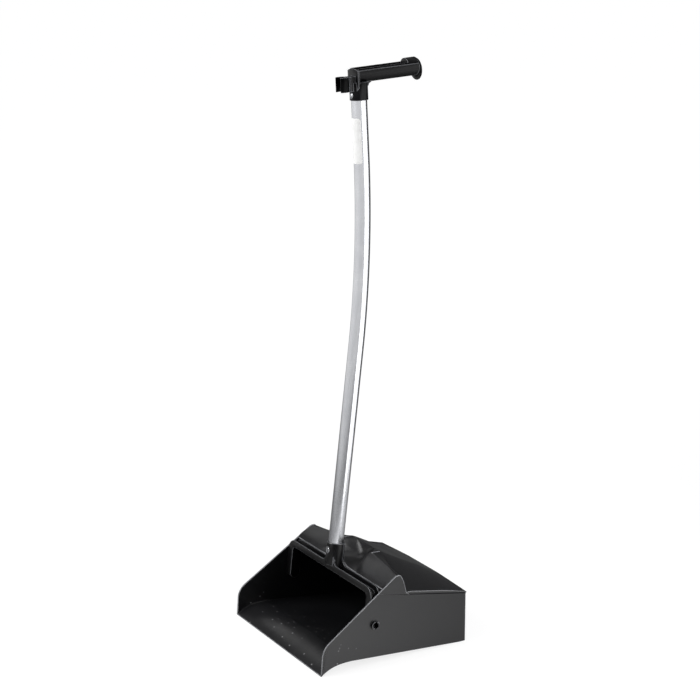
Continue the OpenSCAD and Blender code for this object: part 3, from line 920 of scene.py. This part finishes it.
        # Painted highlight: faces on the beads, along the foot row and on the pocket's shoulders take the
        # pale second material, as light lines.
        for i, (a, b) in enumerate(zip(outer, outer[1:])):
            middle = abs(a[CREST_ROW][0] + b[CREST_ROW][0]) / 2
            at_shoulder = abs(middle - pocket - edge) < edge
            for j in range(len(a) - 1):
                made_pale = i in beads or j == FOOT_ROW or (at_shoulder and CREST_ROW <= j < POCKET_ROW)
                sketch.face([a[j], a[j + 1], b[j + 1], b[j]], int(made_pale))
        for end in (0, -1):
            sketch.strip(outer[end], inner[end])
            sketch.strip([c[end] for c in outer], [c[end] for c in inner])
        for row, crease in ROW_CREASES.items():
            sketch.mark(CREASE, [c[row] for c in outer], crease)
        for column in outer:
            if abs(abs(column[CREST_ROW][0]) - pocket) < edge:
                sketch.mark(CREASE, column[CREST_ROW : POCKET_ROW + 1], SHOULDER_CREASE)
        piece = sketch.finish("pan_hood", finishes)
        smooth = piece.modifiers.new("smooth", "SUBSURF")
        smooth.levels = smooth.render_levels = 2
        make_plain(piece)
        return piece

    def rim(self) -> list[Flat]:
        """Rim of a side wall from the lip over the ear to the back.

        Returns:
            Points as distance behind the lip and height.
        """
        rise = math.degrees(math.atan2(self.ear_height - self.front_height, self.ear_depth - self.front_set))
        edge = math.degrees(math.atan2(self.front_height, self.front_set))
        slope = math.tan(math.radians(rise))
        reach = turned(self.corner_radius * math.tan(math.radians((edge - rise) / 2)), rise)
        inward = turned(self.corner_radius, rise - 90)
        corner = (self.front_set + reach[0] + inward[0], self.front_height + reach[1] + inward[1])
        ear_at = self.ear_depth + self.ear_radius * math.tan(math.radians(rise / 2))
        points = [(self.lip * self.front_set / self.front_height, self.lip)]
        points += arc(corner, self.corner_radius, 90 + edge, 90 + rise, self.corner_steps)
        points.append((self.front_set + (self.pivot_height - self.front_height) / slope, self.pivot_height))
        points.append((self.step_start, self.front_height + (self.step_start - self.front_set) * slope))
        ear = (ear_at, self.ear_height - self.ear_radius)
        points += arc(ear, self.ear_radius, 90 + rise, 90, self.ear_steps)
        for d in spaced(self.ear_depth + 2 * self.ear_half, self.ear_end, self.ear_steps):
            points.append((d, self.skin(1.0, d) + self.edge_step))
        for d in (self.step_end, self.depth):
            points.append((d, self.hood_base(d) + self.edge_step - self.rim_drop))
        return points

    def on_wall(
        self, side: Side, points: Iterable[Flat], inset: float = 0.0, step: float = 0.0
    ) -> list[Point]:
        """Points of a side wall.

        Args:
            side: The side wall.
            points: Distances behind the lip and heights.
            inset: How far inside the outer face they lie.
            step: How far the ear's face stands out at its back end.

        Returns:
            The points in order.
        """
        made = []
        for d, z in points:
            out = step * clamped((d - self.step_start) / (self.step_end - self.step_start))
            made.append((side * (self.half(d) - inset + out), d - self.depth / 2, z))
        return made

    def tray(self, finishes: Sequence[Material]) -> Object:
        """Builds the floor, the side walls with their bores and ears, and the back wall.

        Args:
            finishes: Materials of the moulding and of its painted edge highlights.

        Returns:
            The tray.
        """
        sketch = Sketch()
        rim, back = self.rim(), self.depth - self.wall
        ramp = spaced(0.0, self.ramp_depth, self.ramp_steps)
        low = [(d, self.under(d)) for d in ramp] + [(self.flat, 0.0), (self.depth, 0.0)]
        top = [rim[0]] + [(d, self.floor(d)) for d in (*ramp[1:], self.flat)] + [(back, self.wall)]
        inner_end = (back, rim[-1][1])
        centre = (self.pivot_depth, self.pivot_height)
        under_bore = arc(centre, self.bore_radius, 0, -180, self.bore_steps)
        over_bore = arc(centre, self.bore_radius, 180, 0, self.bore_steps)
        bore = under_bore + over_bore[1:]
        step_at = next(i for i, p in enumerate(rim) if p[0] == self.step_start)
        level_at = next(i for i, p in enumerate(rim) if p[1] == self.pivot_height)
        end_at = len(rim) - 2
        step = [rim[step_at], (self.step_end, self.hood_base(self.step_end) - self.bead_drop)]
        for side in Side:
            out = partial(self.on_wall, side)
            proud = partial(self.on_wall, side, step=self.step_out)
            within = partial(self.on_wall, side, inset=self.inset)
            end = out([rim[end_at]])
            outer_line, inner_line = proud(rim[:-1]), within(rim[:-1])
            sketch.face(out(low + [rim[-1], rim[end_at], *step[::-1]] + under_bore + rim[level_at::-1]))
            sketch.face(out(rim[level_at : step_at + 1] + over_bore[::-1]))
            sketch.face(proud(step + rim[step_at : end_at + 1][::-1]))
            sketch.face(out(step) + proud(step[1:]))
            sketch.face(out(step[1:]) + proud([step[1], rim[end_at]]) + end)
            sketch.face(within(top[::-1] + rim[1 : level_at + 1] + under_bore[::-1] + [inner_end]))
            sketch.face(within(rim[level_at : end_at + 1] + [inner_end] + over_bore[::-1]))
            sketch.strip(outer_line[:end_at], inner_line[:end_at])
            sketch.face(outer_line[end_at - 1 :] + end + inner_line[: end_at - 2 : -1])
            sketch.strip(out(bore), within(bore))
            # Each edge's softness is a share of the widest bevel.
            for layer, line, share in (
                (BEVEL, outer_line, 0.5), (BEVEL, inner_line, 0.5), (BEVEL, out(low), 0.4),
                (INNER_BEVEL, within(top), 0.6), (BEVEL, out(bore), 0.18), (BEVEL, within(bore), 0.18),
                (BEVEL, proud(step), 0.1), (BEVEL, out([low[-1], rim[-1]]), 0.7),
                (INNER_BEVEL, within([top[-1], inner_end]), 0.7),
            ):
                sketch.mark(layer, line, share)
        for chain, gap in ((low, 0.0), (top, self.inset)):
            sketch.strip(*(self.on_wall(side, chain, gap) for side in Side))
        corner, foot, inside, heel = (
            [self.on_wall(side, [point], gap)[0] for side in Side]
            for point, gap in (
                (rim[-1], 0.0), (low[-1], 0.0), (inner_end, self.inset), (top[-1], self.inset)
            )
        )
        for a, b in ((foot, corner), (heel, inside), (corner, inside)):
            sketch.strip(a, b)
        for i, side in enumerate(Side):
            ends = [self.on_wall(side, [rim[end_at]], gap)[0] for gap in (self.inset, 0.0)]
            sketch.face([corner[i], inside[i], *ends])
        lip = [
            self.on_wall(side, [point], gap)[0]
            for side, point, gap in (
                (Side.LEFT, low[0], 0.0), (Side.RIGHT, low[0], 0.0), (Side.RIGHT, rim[0], 0.0),
                (Side.RIGHT, rim[0], self.inset), (Side.LEFT, rim[0], self.inset), (Side.LEFT, rim[0], 0.0),
            )
        ]
        sketch.face(lip)
        for layer, line, share in (
            (BEVEL, lip[:2], 0.12), (BEVEL, lip[3:5], 0.2), (BEVEL, foot, 0.4), (INNER_BEVEL, heel, 0.6)
        ):
            sketch.mark(layer, line, share)
        piece = sketch.finish("pan_shell", finishes)
        # Painted highlight: bevels on edges weighted in BEVEL take the pale second material; those in
        # INNER_BEVEL keep the moulding's.
        for layer, finish in ((BEVEL, 1), (INNER_BEVEL, 0)):
            soft = piece.modifiers.new(layer, "BEVEL")
            soft.limit_method, soft.edge_weight = "WEIGHT", layer
            soft.width, soft.segments = self.bevel * MM, 3
            soft.use_clamp_overlap, soft.material = False, finish
        level = piece.modifiers.new("flat_faces", "WEIGHTED_NORMAL")
        level.mode, level.weight = "FACE_AREA", 100
        make_plain(piece)
        return piece

    def build(self) -> None:
        """Joins the tray and the hood into one dressed piece."""
        finishes = [PAN_FINISH.material(), RIM_HIGHLIGHT.material()]
        tray, hood = self.tray(finishes), self.hood(finishes)
        with bpy.context.temp_override(active_object=tray, selected_editable_objects=[tray, hood]):
            bpy.ops.object.join()
        declare(tray, Body.PAN, Slot.PAN, "pan")


@dataclass
class SoftMoulding:
    """Moulded piece whose CAD shape is right and only lacks soft edges."""

    name: str
    node: str
    slot: Slot
    finish: MouldedPolypropylene
    edge_highlight: MouldedPolypropylene
    edge: float = 0.6
    sharp_from: float = 30.0
    flat_below: float = 0.6
    same_point: float = 0.002
    stray: float = 0.35

    def build(self, nodes: dict[str, Object]) -> None:
        """Copies the CAD mesh, merges it, rounds its edges and dresses it.

        Corners that the bevel throws off the moulding go back to its surface.

        Args:
            nodes: CAD nodes by name.
        """
        work = bmesh.new()
        work.from_mesh(nodes[self.node].data)
        bmesh.ops.remove_doubles(work, verts=work.verts, dist=self.same_point * MM)
        bmesh.ops.dissolve_limit(
            work,
            angle_limit=math.radians(self.flat_below),
            verts=work.verts,
            edges=work.edges,
            use_dissolve_boundaries=False,
        )
        surface = BVHTree.FromBMesh(work)
        finishes = [self.finish.material(), self.edge_highlight.material()]
        piece = link_piece(self.name, settle(work, bpy.data.meshes.new(self.name)), finishes)
        soft = piece.modifiers.new("soft_edges", "BEVEL")
        soft.limit_method, soft.angle_limit = "ANGLE", math.radians(self.sharp_from)
        soft.width, soft.segments = self.edge * MM, 2
        soft.harden_normals, soft.use_clamp_overlap = True, False
        # Painted highlight: the bevels' faces take the pale second material, as light lines round the edges.
        soft.material = 1
        make_plain(piece)
        for vert in piece.data.vertices:
            near, _, _, gap = surface.find_nearest(vert.co)
            if gap > self.stray * MM:
                vert.co = near
        declare(piece, Body.HANDLE, self.slot, self.node)


@dataclass(frozen=True)
class HandleLine:
    """Line that the handle follows at rest: straight, bent, and straight again."""

    pivot_y: float = -39.0
    pivot_z: float = 65.4
    lean: float = 6.6
    straight: float = 412.0
    bend_radius: float = 1875.0
    bend_angle: float = 9.5

    def frame(self) -> Matrix:
        """Frame of the straight tube, whose origin is the pivot, in millimetres."""
        turn = Matrix.Rotation(math.radians(-self.lean), 4, "X")
        return Matrix.Translation((0.0, self.pivot_y, self.pivot_z)) @ turn

    def bent(self, angle: float) -> Matrix:
        """Frame of the tube at an angle along the bend, in millimetres."""
        centre = Matrix.Translation((0.0, -self.bend_radius, self.straight)) @ Matrix.Rotation(angle, 4, "X")
        return self.frame() @ centre @ Matrix.Translation((0.0, self.bend_radius, 0.0))

    def at(self, length: float) -> Matrix:
        """Frame at a length along the line from the pivot.

        Args:
            length: Length in millimetres.

        Returns:
            The frame, with +Z along the tube.
        """
        if length <= self.straight:
            return self.frame() @ Matrix.Translation((0.0, 0.0, length))
        angle = min((length - self.straight) / self.bend_radius, math.radians(self.bend_angle))
        past = length - self.straight - angle * self.bend_radius
        return self.bent(angle) @ Matrix.Translation((0.0, 0.0, past))


@dataclass
class HandleTube:
    """Bent aluminium tube, swept along the handle's line by Geometry Nodes."""

    line: HandleLine
    diameter: float = 25.0
    wall: float = 1.5
    low: float = 59.9
    top: float = 833.375
    stations: int = 72
    facets: int = 72

    def tree(self) -> NodeTree:
        """Builds the sweep, which also stores each point's place on the straightened tube.

        Returns:
            The node tree.
        """
        tree, given = new_tree(
            "sweep_tube", {"Path": "Geometry", "Radius": "Float", "Facets": "Int", "Finish": "Material"}
        )
        add = partial(add_node, tree)
        path = add("GeometryNodeMeshToCurve", {}, {"Mesh": given.outputs["Path"]})
        sizes = {"Resolution": given.outputs["Facets"], "Radius": given.outputs["Radius"]}
        ring = add("GeometryNodeCurvePrimitiveCircle", {}, sizes)
        walked = add("GeometryNodeCaptureAttribute", {}, {"Geometry": path})
        walked.capture_items.new("FLOAT", "Walked")
        reach = add("GeometryNodeSplineParameter")
        tree.links.new(reach.outputs["Length"], walked.inputs["Walked"])
        section = add("GeometryNodeCaptureAttribute", {}, {"Geometry": ring})
        section.capture_items.new("VECTOR", "Section")
        place = add("GeometryNodeInputPosition")
        tree.links.new(place.outputs["Position"], section.inputs["Section"])
        swept = add("GeometryNodeCurveToMesh", {}, {"Curve": walked, "Profile Curve": section})
        axes = add("ShaderNodeSeparateXYZ", {}, {"Vector": section.outputs["Section"]})
        straight = add(
            "ShaderNodeCombineXYZ",
            {},
            {"X": axes.outputs["X"], "Y": axes.outputs["Y"], "Z": walked.outputs["Walked"]},
        )
        stored = add(
            "GeometryNodeStoreNamedAttribute",
            {"data_type": "FLOAT_VECTOR", "domain": "POINT"},
            {"Geometry": swept, "Name": STRAIGHT, "Value": straight},
        )
        end_tree(tree, stored, given.outputs["Finish"])
        return tree

    def build(self) -> None:
        """Sweeps the tube, gives it its wall and dresses it."""
        work = bmesh.new()
        lengths = spaced(self.low, self.top, self.stations)
        verts = [work.verts.new(self.line.at(s).translation * MM) for s in lengths]
        for a, b in zip(verts, verts[1:]):
            work.edges.new((a, b))
        piece = link_piece("tube_sleeve", settle(work, bpy.data.meshes.new("tube_sleeve")))
        sizes = {"Radius": self.diameter / 2 * MM, "Facets": self.facets}
        set_nodes(piece, self.tree(), {**sizes, "Finish": TUBE_FINISH.material()})
        thick = piece.modifiers.new("wall", "SOLIDIFY")
        thick.thickness, thick.offset = self.wall * MM, -1.0
        make_plain(piece)
        turn_out(piece)
        declare(piece, Body.HANDLE, Slot.TUBE, "handle_tube")


@dataclass
class Rivets:
    """Two set blind rivets with their broken stems, placed by Geometry Nodes."""

    line: HandleLine
    yoke_level: float = 79.5
    grip_level: float = 95.0
    shank: float = 4.8
    head: float = 9.5
    head_height: float = 1.5
    head_edge: float = 0.3
    head_round: float = 0.12
    dome_steps: int = 6
    stem: float = 2.7
    stem_gap: float = 0.05
    stem_head: float = 4.0
    stem_head_height: float = 1.6
    chamfer: float = 0.2
    bulb: float = 6.4
    bulb_length: float = 3.2
    bulb_end: float = 10.48
    seat: float = 13.4
    stem_set: float = 0.4
    facets: int = 32

    def places(self) -> Mesh:
        """Makes one point for each rivet on the tube's axis, with the direction that its head faces.

        Returns:
            Mesh of the points.
        """
        upper = self.line.bent(math.radians(self.line.bend_angle))
        frames = [
            base @ Matrix.Translation((0.0, 0.0, level))
            for base, level in ((self.line.frame(), self.yoke_level), (upper, self.grip_level))
        ]
        mesh = bpy.data.meshes.new("rivet_places")
        mesh.from_pydata([f.translation * MM for f in frames], [], [])
        facing = mesh.attributes.new("facing", "FLOAT_VECTOR", "POINT")
        for item, f in zip(facing.data, frames):
            item.vector = f.to_3x3() @ Vector((0.0, -1.0, 0.0))
        return mesh

    def tree(self) -> NodeTree:
        """Builds the nodes that set a part on each point.

        Returns:
            The node tree.
        """
        tree, given = new_tree(
            "place_rivets", {"Places": "Geometry", "Part": "Object", "Finish": "Material"}
        )
        add = partial(add_node, tree)
        part = add(
            "GeometryNodeObjectInfo", {"transform_space": "ORIGINAL"}, {"Object": given.outputs["Part"]}
        )
        facing = add("GeometryNodeInputNamedAttribute", {"data_type": "FLOAT_VECTOR"}, {"Name": "facing"})
        turn = add("FunctionNodeAlignRotationToVector", {"axis": "Z"}, {"Vector": facing})
        points = add("GeometryNodeMeshToPoints", {}, {"Mesh": given.outputs["Places"]})
        placed = add(
            "GeometryNodeInstanceOnPoints",
            {},
            {"Points": points, "Instance": part.outputs["Geometry"], "Rotation": turn},
        )
        end_tree(tree, placed, given.outputs["Finish"])
        return tree

    def lathe(self, name: str, outline: Sequence[Flat]) -> Object:
        """Turns an outline round +Z.

        Args:
            name: Name of the part.
            outline: Radius and height of each point.

        Returns:
            The round part.
        """
        sketch = Sketch()
        rings = [[(*turned(r, a), h) for a in spaced(0.0, 360.0, self.facets)] for r, h in outline]
        for a, b in zip(rings, rings[1:]):
            sketch.strip(a, b)
        return sketch.finish(name)

    def rivet_outline(self) -> list[Flat]:
        """Section of a rivet, bored for its stem.

        Returns:
            Radius and height of each point, ending where it starts.
        """
        bore, bulb, shank = self.stem / 2 + self.stem_gap, self.bulb / 2, self.shank / 2
        low, edge = self.bulb_end - self.bulb_length, self.head / 2
        crown = (edge**2 + self.head_height**2) / (2 * self.head_height)
        centre = self.seat + self.head_height - crown
        radii = spaced(edge - self.head_round, bore + self.chamfer, self.dome_steps)
        dome = [(r, centre + math.sqrt(crown**2 - r**2)) for r in radii]
        side, top = self.seat + self.head_edge / 2, self.seat + self.head_edge
        return [
            (bore, low), (bulb, low), (bulb, self.bulb_end), (shank, self.bulb_end), (shank, self.seat),
            (edge, self.seat), (edge, side), (radii[0], top), *dome[1:],
            (bore, dome[-1][1] - self.chamfer), (bore, low),
        ]

    def stem_outline(self) -> list[Flat]:
        """Section of a broken stem, from its head inside the tube to its break.

        Returns:
            Radius and height of each point.
        """
        low, cut = self.bulb_end - self.bulb_length, self.chamfer
        r, wide, end = self.stem / 2, self.stem_head / 2, low - self.stem_head_height
        top = self.seat + self.head_height - self.stem_set
        return [(0, end), (wide - cut, end), (wide, end + cut), (wide, low), (r, low), (r, top - cut),
                (r - cut, top), (0, top - cut / 2)]

    def build(self) -> None:
        """Places both kinds of part and dresses them."""
        tree = self.tree()
        for name, outline, finish, slot, end in (
            ("rivet_heads", self.rivet_outline(), RIVET_FINISH, Slot.RIVET, ""),
            ("rivet_stems", self.stem_outline(), STEM_FINISH, Slot.STEM, "_stem"),
        ):
            part = self.lathe(name + "_part", outline)
            piece = link_piece(name, self.places())
            set_nodes(piece, tree, {"Part": part, "Finish": finish.material()})
            make_plain(piece)
            bpy.data.objects.remove(part)
            turn_out(piece)
            declare(piece, Body.HANDLE, slot, "yoke_rivet" + end, "grip_rivet" + end)


@dataclass
class TubeLabel:
    """Bare white film label round the front of the tube."""

    line: HandleLine
    tube_radius: float = 12.5
    gap: float = 0.04
    thickness: float = 0.18
    start: float = 711.0
    length: float = 71.0
    spread: float = 66.0
    corner: float = 2.5
    across: int = 28
    rows: int = 30
    sharp_from: float = 40.0

    def row(self, y: float, radius: float) -> list[Point]:
        """Points across the film, which has round corners.

        Args:
            y: Place along the film.
            radius: Distance from the tube's axis.

        Returns:
            The points in order.
        """
        cut = self.corner - min(y, self.length - y, self.corner)
        reach = self.corner - math.sqrt(max(0.0, self.corner**2 - cut**2))
        half = math.radians(self.spread) - reach / self.tube_radius
        frame = self.line.at(self.start + y)
        turns = [(math.sin(a), math.cos(a)) for a in spaced(-half, half, self.across)]
        return [tuple(frame @ Vector((radius * s, -radius * c, 0.0))) for s, c in turns]

    def build(self) -> None:
        """Bends the film round the tube and dresses it."""
        sketch = Sketch()
        low, high = (
            [self.row(y, self.tube_radius + lift) for y in spaced(0.0, self.length, self.rows)]
            for lift in (self.gap, self.thickness)
        )
        for grid in (low, high):
            for a, b in zip(grid, grid[1:]):
                sketch.strip(a, b)
        for end in (0, -1):
            sketch.strip(low[end], high[end])
            sketch.strip([row[end] for row in low], [row[end] for row in high])
        piece = sketch.finish("tube_label", [LABEL_FINISH.material()])
        piece.data.set_sharp_from_angle(angle=math.radians(self.sharp_from))
        declare(piece, Body.HANDLE, None)


@dataclass(frozen=True)
class Softbox:
    """Large soft studio lamp, with its place, aim and size in metres and its power in watts."""

    name: str
    place: Point
    aim: Point
    size: Flat
    power: float

    def build(self) -> None:
        """Hangs the lamp where the camera doesn't see it."""
        lamp = bpy.data.lights.new(self.name, "AREA")
        lamp.shape, lamp.energy = "RECTANGLE", self.power
        lamp.size, lamp.size_y = self.size
        aimed(self.name, lamp, self.place, self.aim).visible_camera = False


LAMPS = (
    Softbox("right_panel", (0.72, 0.26, 0.48), (0.0, 0.0, 0.45), (0.44, 1.25), 5.2),
    Softbox("back_panel", (0.44, 0.65, 0.48), (0.0, 0.0, 0.45), (0.5, 1.25), 4.0),
    Softbox("left_box", (-1.6, 0.08, 1.25), (0.0, 0.0, 0.14), (0.7, 0.7), 1.3),
    Softbox("front_box", (-0.5, -1.9, 1.6), (0.0, 0.0, 0.6), (1.8, 1.8), 56.0),
    Softbox("top_box", (-0.2, 0.3, 2.7), (0.0, 0.0, 0.2), (2.6, 2.6), 14.0),
)


@dataclass
class Studio:
    """Camera, lamps, white surroundings and pale floor, in metres."""

    eye: Point = (2.4738, -1.3932, 1.1594)
    target: Point = (-0.00705, 0.0018, 0.4730)
    lens: float = 94.13
    sensor: float = 36.0
    sight: float = 200.0
    ambient: float = 0.13
    sweep_glow: float = 0.11
    room_glow: float = 0.12
    sweep_heights: Flat = (0.08, 0.36)
    floor_size: float = 60.0
    floor_level: float = -0.2
    floor_glow: float = 0.97
    near_glow: float = 0.8
    far_glow: float = 1.12
    room_colour: str = "#f4f6fa"
    white: str = "#ffffff"
    floor_colour: str = "#8c8c8c"

    def camera(self) -> None:
        """Places the camera at the photograph's viewing angle."""
        data = bpy.data.cameras.new("camera")
        data.lens, data.sensor_width, data.clip_end = self.lens, self.sensor, self.sight
        bpy.context.scene.camera = aimed("camera", data, self.eye, self.target)

    def surroundings(self) -> None:
        """Makes the surroundings white to the eye, and a dim room over a sweep in reflections."""
        world = bpy.data.worlds.new("studio")
        bpy.context.scene.world = world
        world.use_nodes = True
        tree = world.node_tree
        tree.nodes.clear()
        add = partial(add_node, tree)
        ray = add("ShaderNodeLightPath").outputs
        place = add("ShaderNodeTexCoord").outputs["Generated"]
        height = add("ShaderNodeSeparateXYZ", {}, {"Vector": place}).outputs["Z"]
        levels = (height, *self.sweep_heights, self.sweep_glow, self.room_glow)
        sweep = add("ShaderNodeMapRange", SMOOTH, dict(zip(RANGE, levels)))
        dim, room, bright = (
            add("ShaderNodeBackground", {}, {"Color": linear(colour), "Strength": strength})
            for colour, strength in (
                (self.room_colour, self.ambient), (self.white, sweep.outputs["Result"]), (self.white, 1.0)
            )
        )
        mirrored = add("ShaderNodeMixShader", {}, {0: ray["Is Glossy Ray"], 1: dim, 2: room})
        straight = {0: ray["Is Camera Ray"], 1: ray["Is Transmission Ray"]}
        direct = add("ShaderNodeMath", LARGER, straight)
        mixed = add("ShaderNodeMixShader", {}, {0: direct, 1: mirrored, 2: bright})
        add("ShaderNodeOutputWorld", {}, {"Surface": mixed})

    def floor(self) -> None:
        """Lays the pale floor, which keeps the shadow and shows a painted glow in reflections."""
        sketch = Sketch()
        h = self.floor_size / 2 / MM
        sketch.face([(x, y, self.floor_level) for x, y in ((-h, -h), (h, -h), (h, h), (-h, h))])
        made = bpy.data.materials.new("pale_floor")
        made.use_nodes = True
        tree = made.node_tree
        tree.nodes.clear()
        add = partial(add_node, tree)
        ray = add("ShaderNodeLightPath").outputs
        place = add("ShaderNodeNewGeometry").outputs["Position"]
        away = add("ShaderNodeVectorMath", {"operation": "LENGTH"}, {0: place}).outputs["Value"]
        axes = add("ShaderNodeSeparateXYZ", {}, {"Vector": place}).outputs
        # Each row: what is measured, where a mask starts and ends, and its values there.
        far, shown, near, right, forward, ahead = (
            add("ShaderNodeMapRange", settings, dict(zip(RANGE, row)))
            for settings, *row in (
                (SMOOTH, away, 1.0, 3.4, 0.0, self.far_glow),
                ({}, away, 0.4, 2.5, self.near_glow, self.floor_glow),
                ({}, away, 0.55, 0.95, 1.0, 0.0),
                ({}, axes["X"], -0.2, 0.3, 0.0, 1.0),
                ({}, axes["Y"], -0.05, 0.3, 1.5, 0.5),
                ({}, axes["Y"], -0.6, 0.6, 1.0, 0.05),
            )
        )
        # Painted reflection: to glossy rays the floor glows near the object's right and far out in front, in
        # place of a lit sweep. To the camera the floor glows too, less near the object.
        corner = add("ShaderNodeMath", TIMES, {0: right, 1: forward})
        painted_glow_beside = add("ShaderNodeMath", TIMES, {0: corner, 1: near})
        front = add("ShaderNodeMath", TIMES, {0: far, 1: ahead})
        mirrored = add("ShaderNodeMath", LARGER, {0: front, 1: painted_glow_beside})
        straight = {0: ray["Is Camera Ray"], 1: ray["Is Transmission Ray"]}
        direct = add("ShaderNodeMath", LARGER, straight)
        painted_reflection_glow = add("ShaderNodeMath", TIMES, {0: ray["Is Glossy Ray"], 1: mirrored})
        glow = add("ShaderNodeMath", TIMES_PLUS, {0: direct, 1: shown, 2: painted_reflection_glow})
        matt = add("ShaderNodeBsdfDiffuse", {}, {"Color": linear(self.floor_colour)})
        lit = add("ShaderNodeEmission", {}, {"Color": linear(self.white), "Strength": glow})
        both = add("ShaderNodeAddShader", {}, {0: matt, 1: lit})
        add("ShaderNodeOutputMaterial", {}, {"Surface": both})
        sketch.finish("floor", [made])

    def build(self) -> None:
        """Sets up the whole studio."""
        bpy.context.scene.view_settings.view_transform = "Standard"
        self.camera()
        self.surroundings()
        self.floor()
        for lamp in LAMPS:
            lamp.build()


def main() -> None:
    """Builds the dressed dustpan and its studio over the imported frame."""
    logging.basicConfig(level=logging.INFO, format="%(name)s %(message)s")
    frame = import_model()
    line = HandleLine()
    Studio().build()
    PanShell().build()
    for part in (
        SoftMoulding("yoke_frame", "yoke", Slot.YOKE, YOKE_FINISH, RIB_HIGHLIGHT),
        SoftMoulding("grip_trough", "grip", Slot.GRIP, GRIP_FINISH, EDGE_HIGHLIGHT),
        SoftMoulding("clip_prongs", "broom_clip", Slot.CLIP, CLIP_FINISH, EDGE_HIGHLIGHT),
    ):
        part.build(frame["nodes"])
    HandleTube(line).build()
    Rivets(line).build()
    TubeLabel(line).build()


if __name__ == "__main__":
    main()
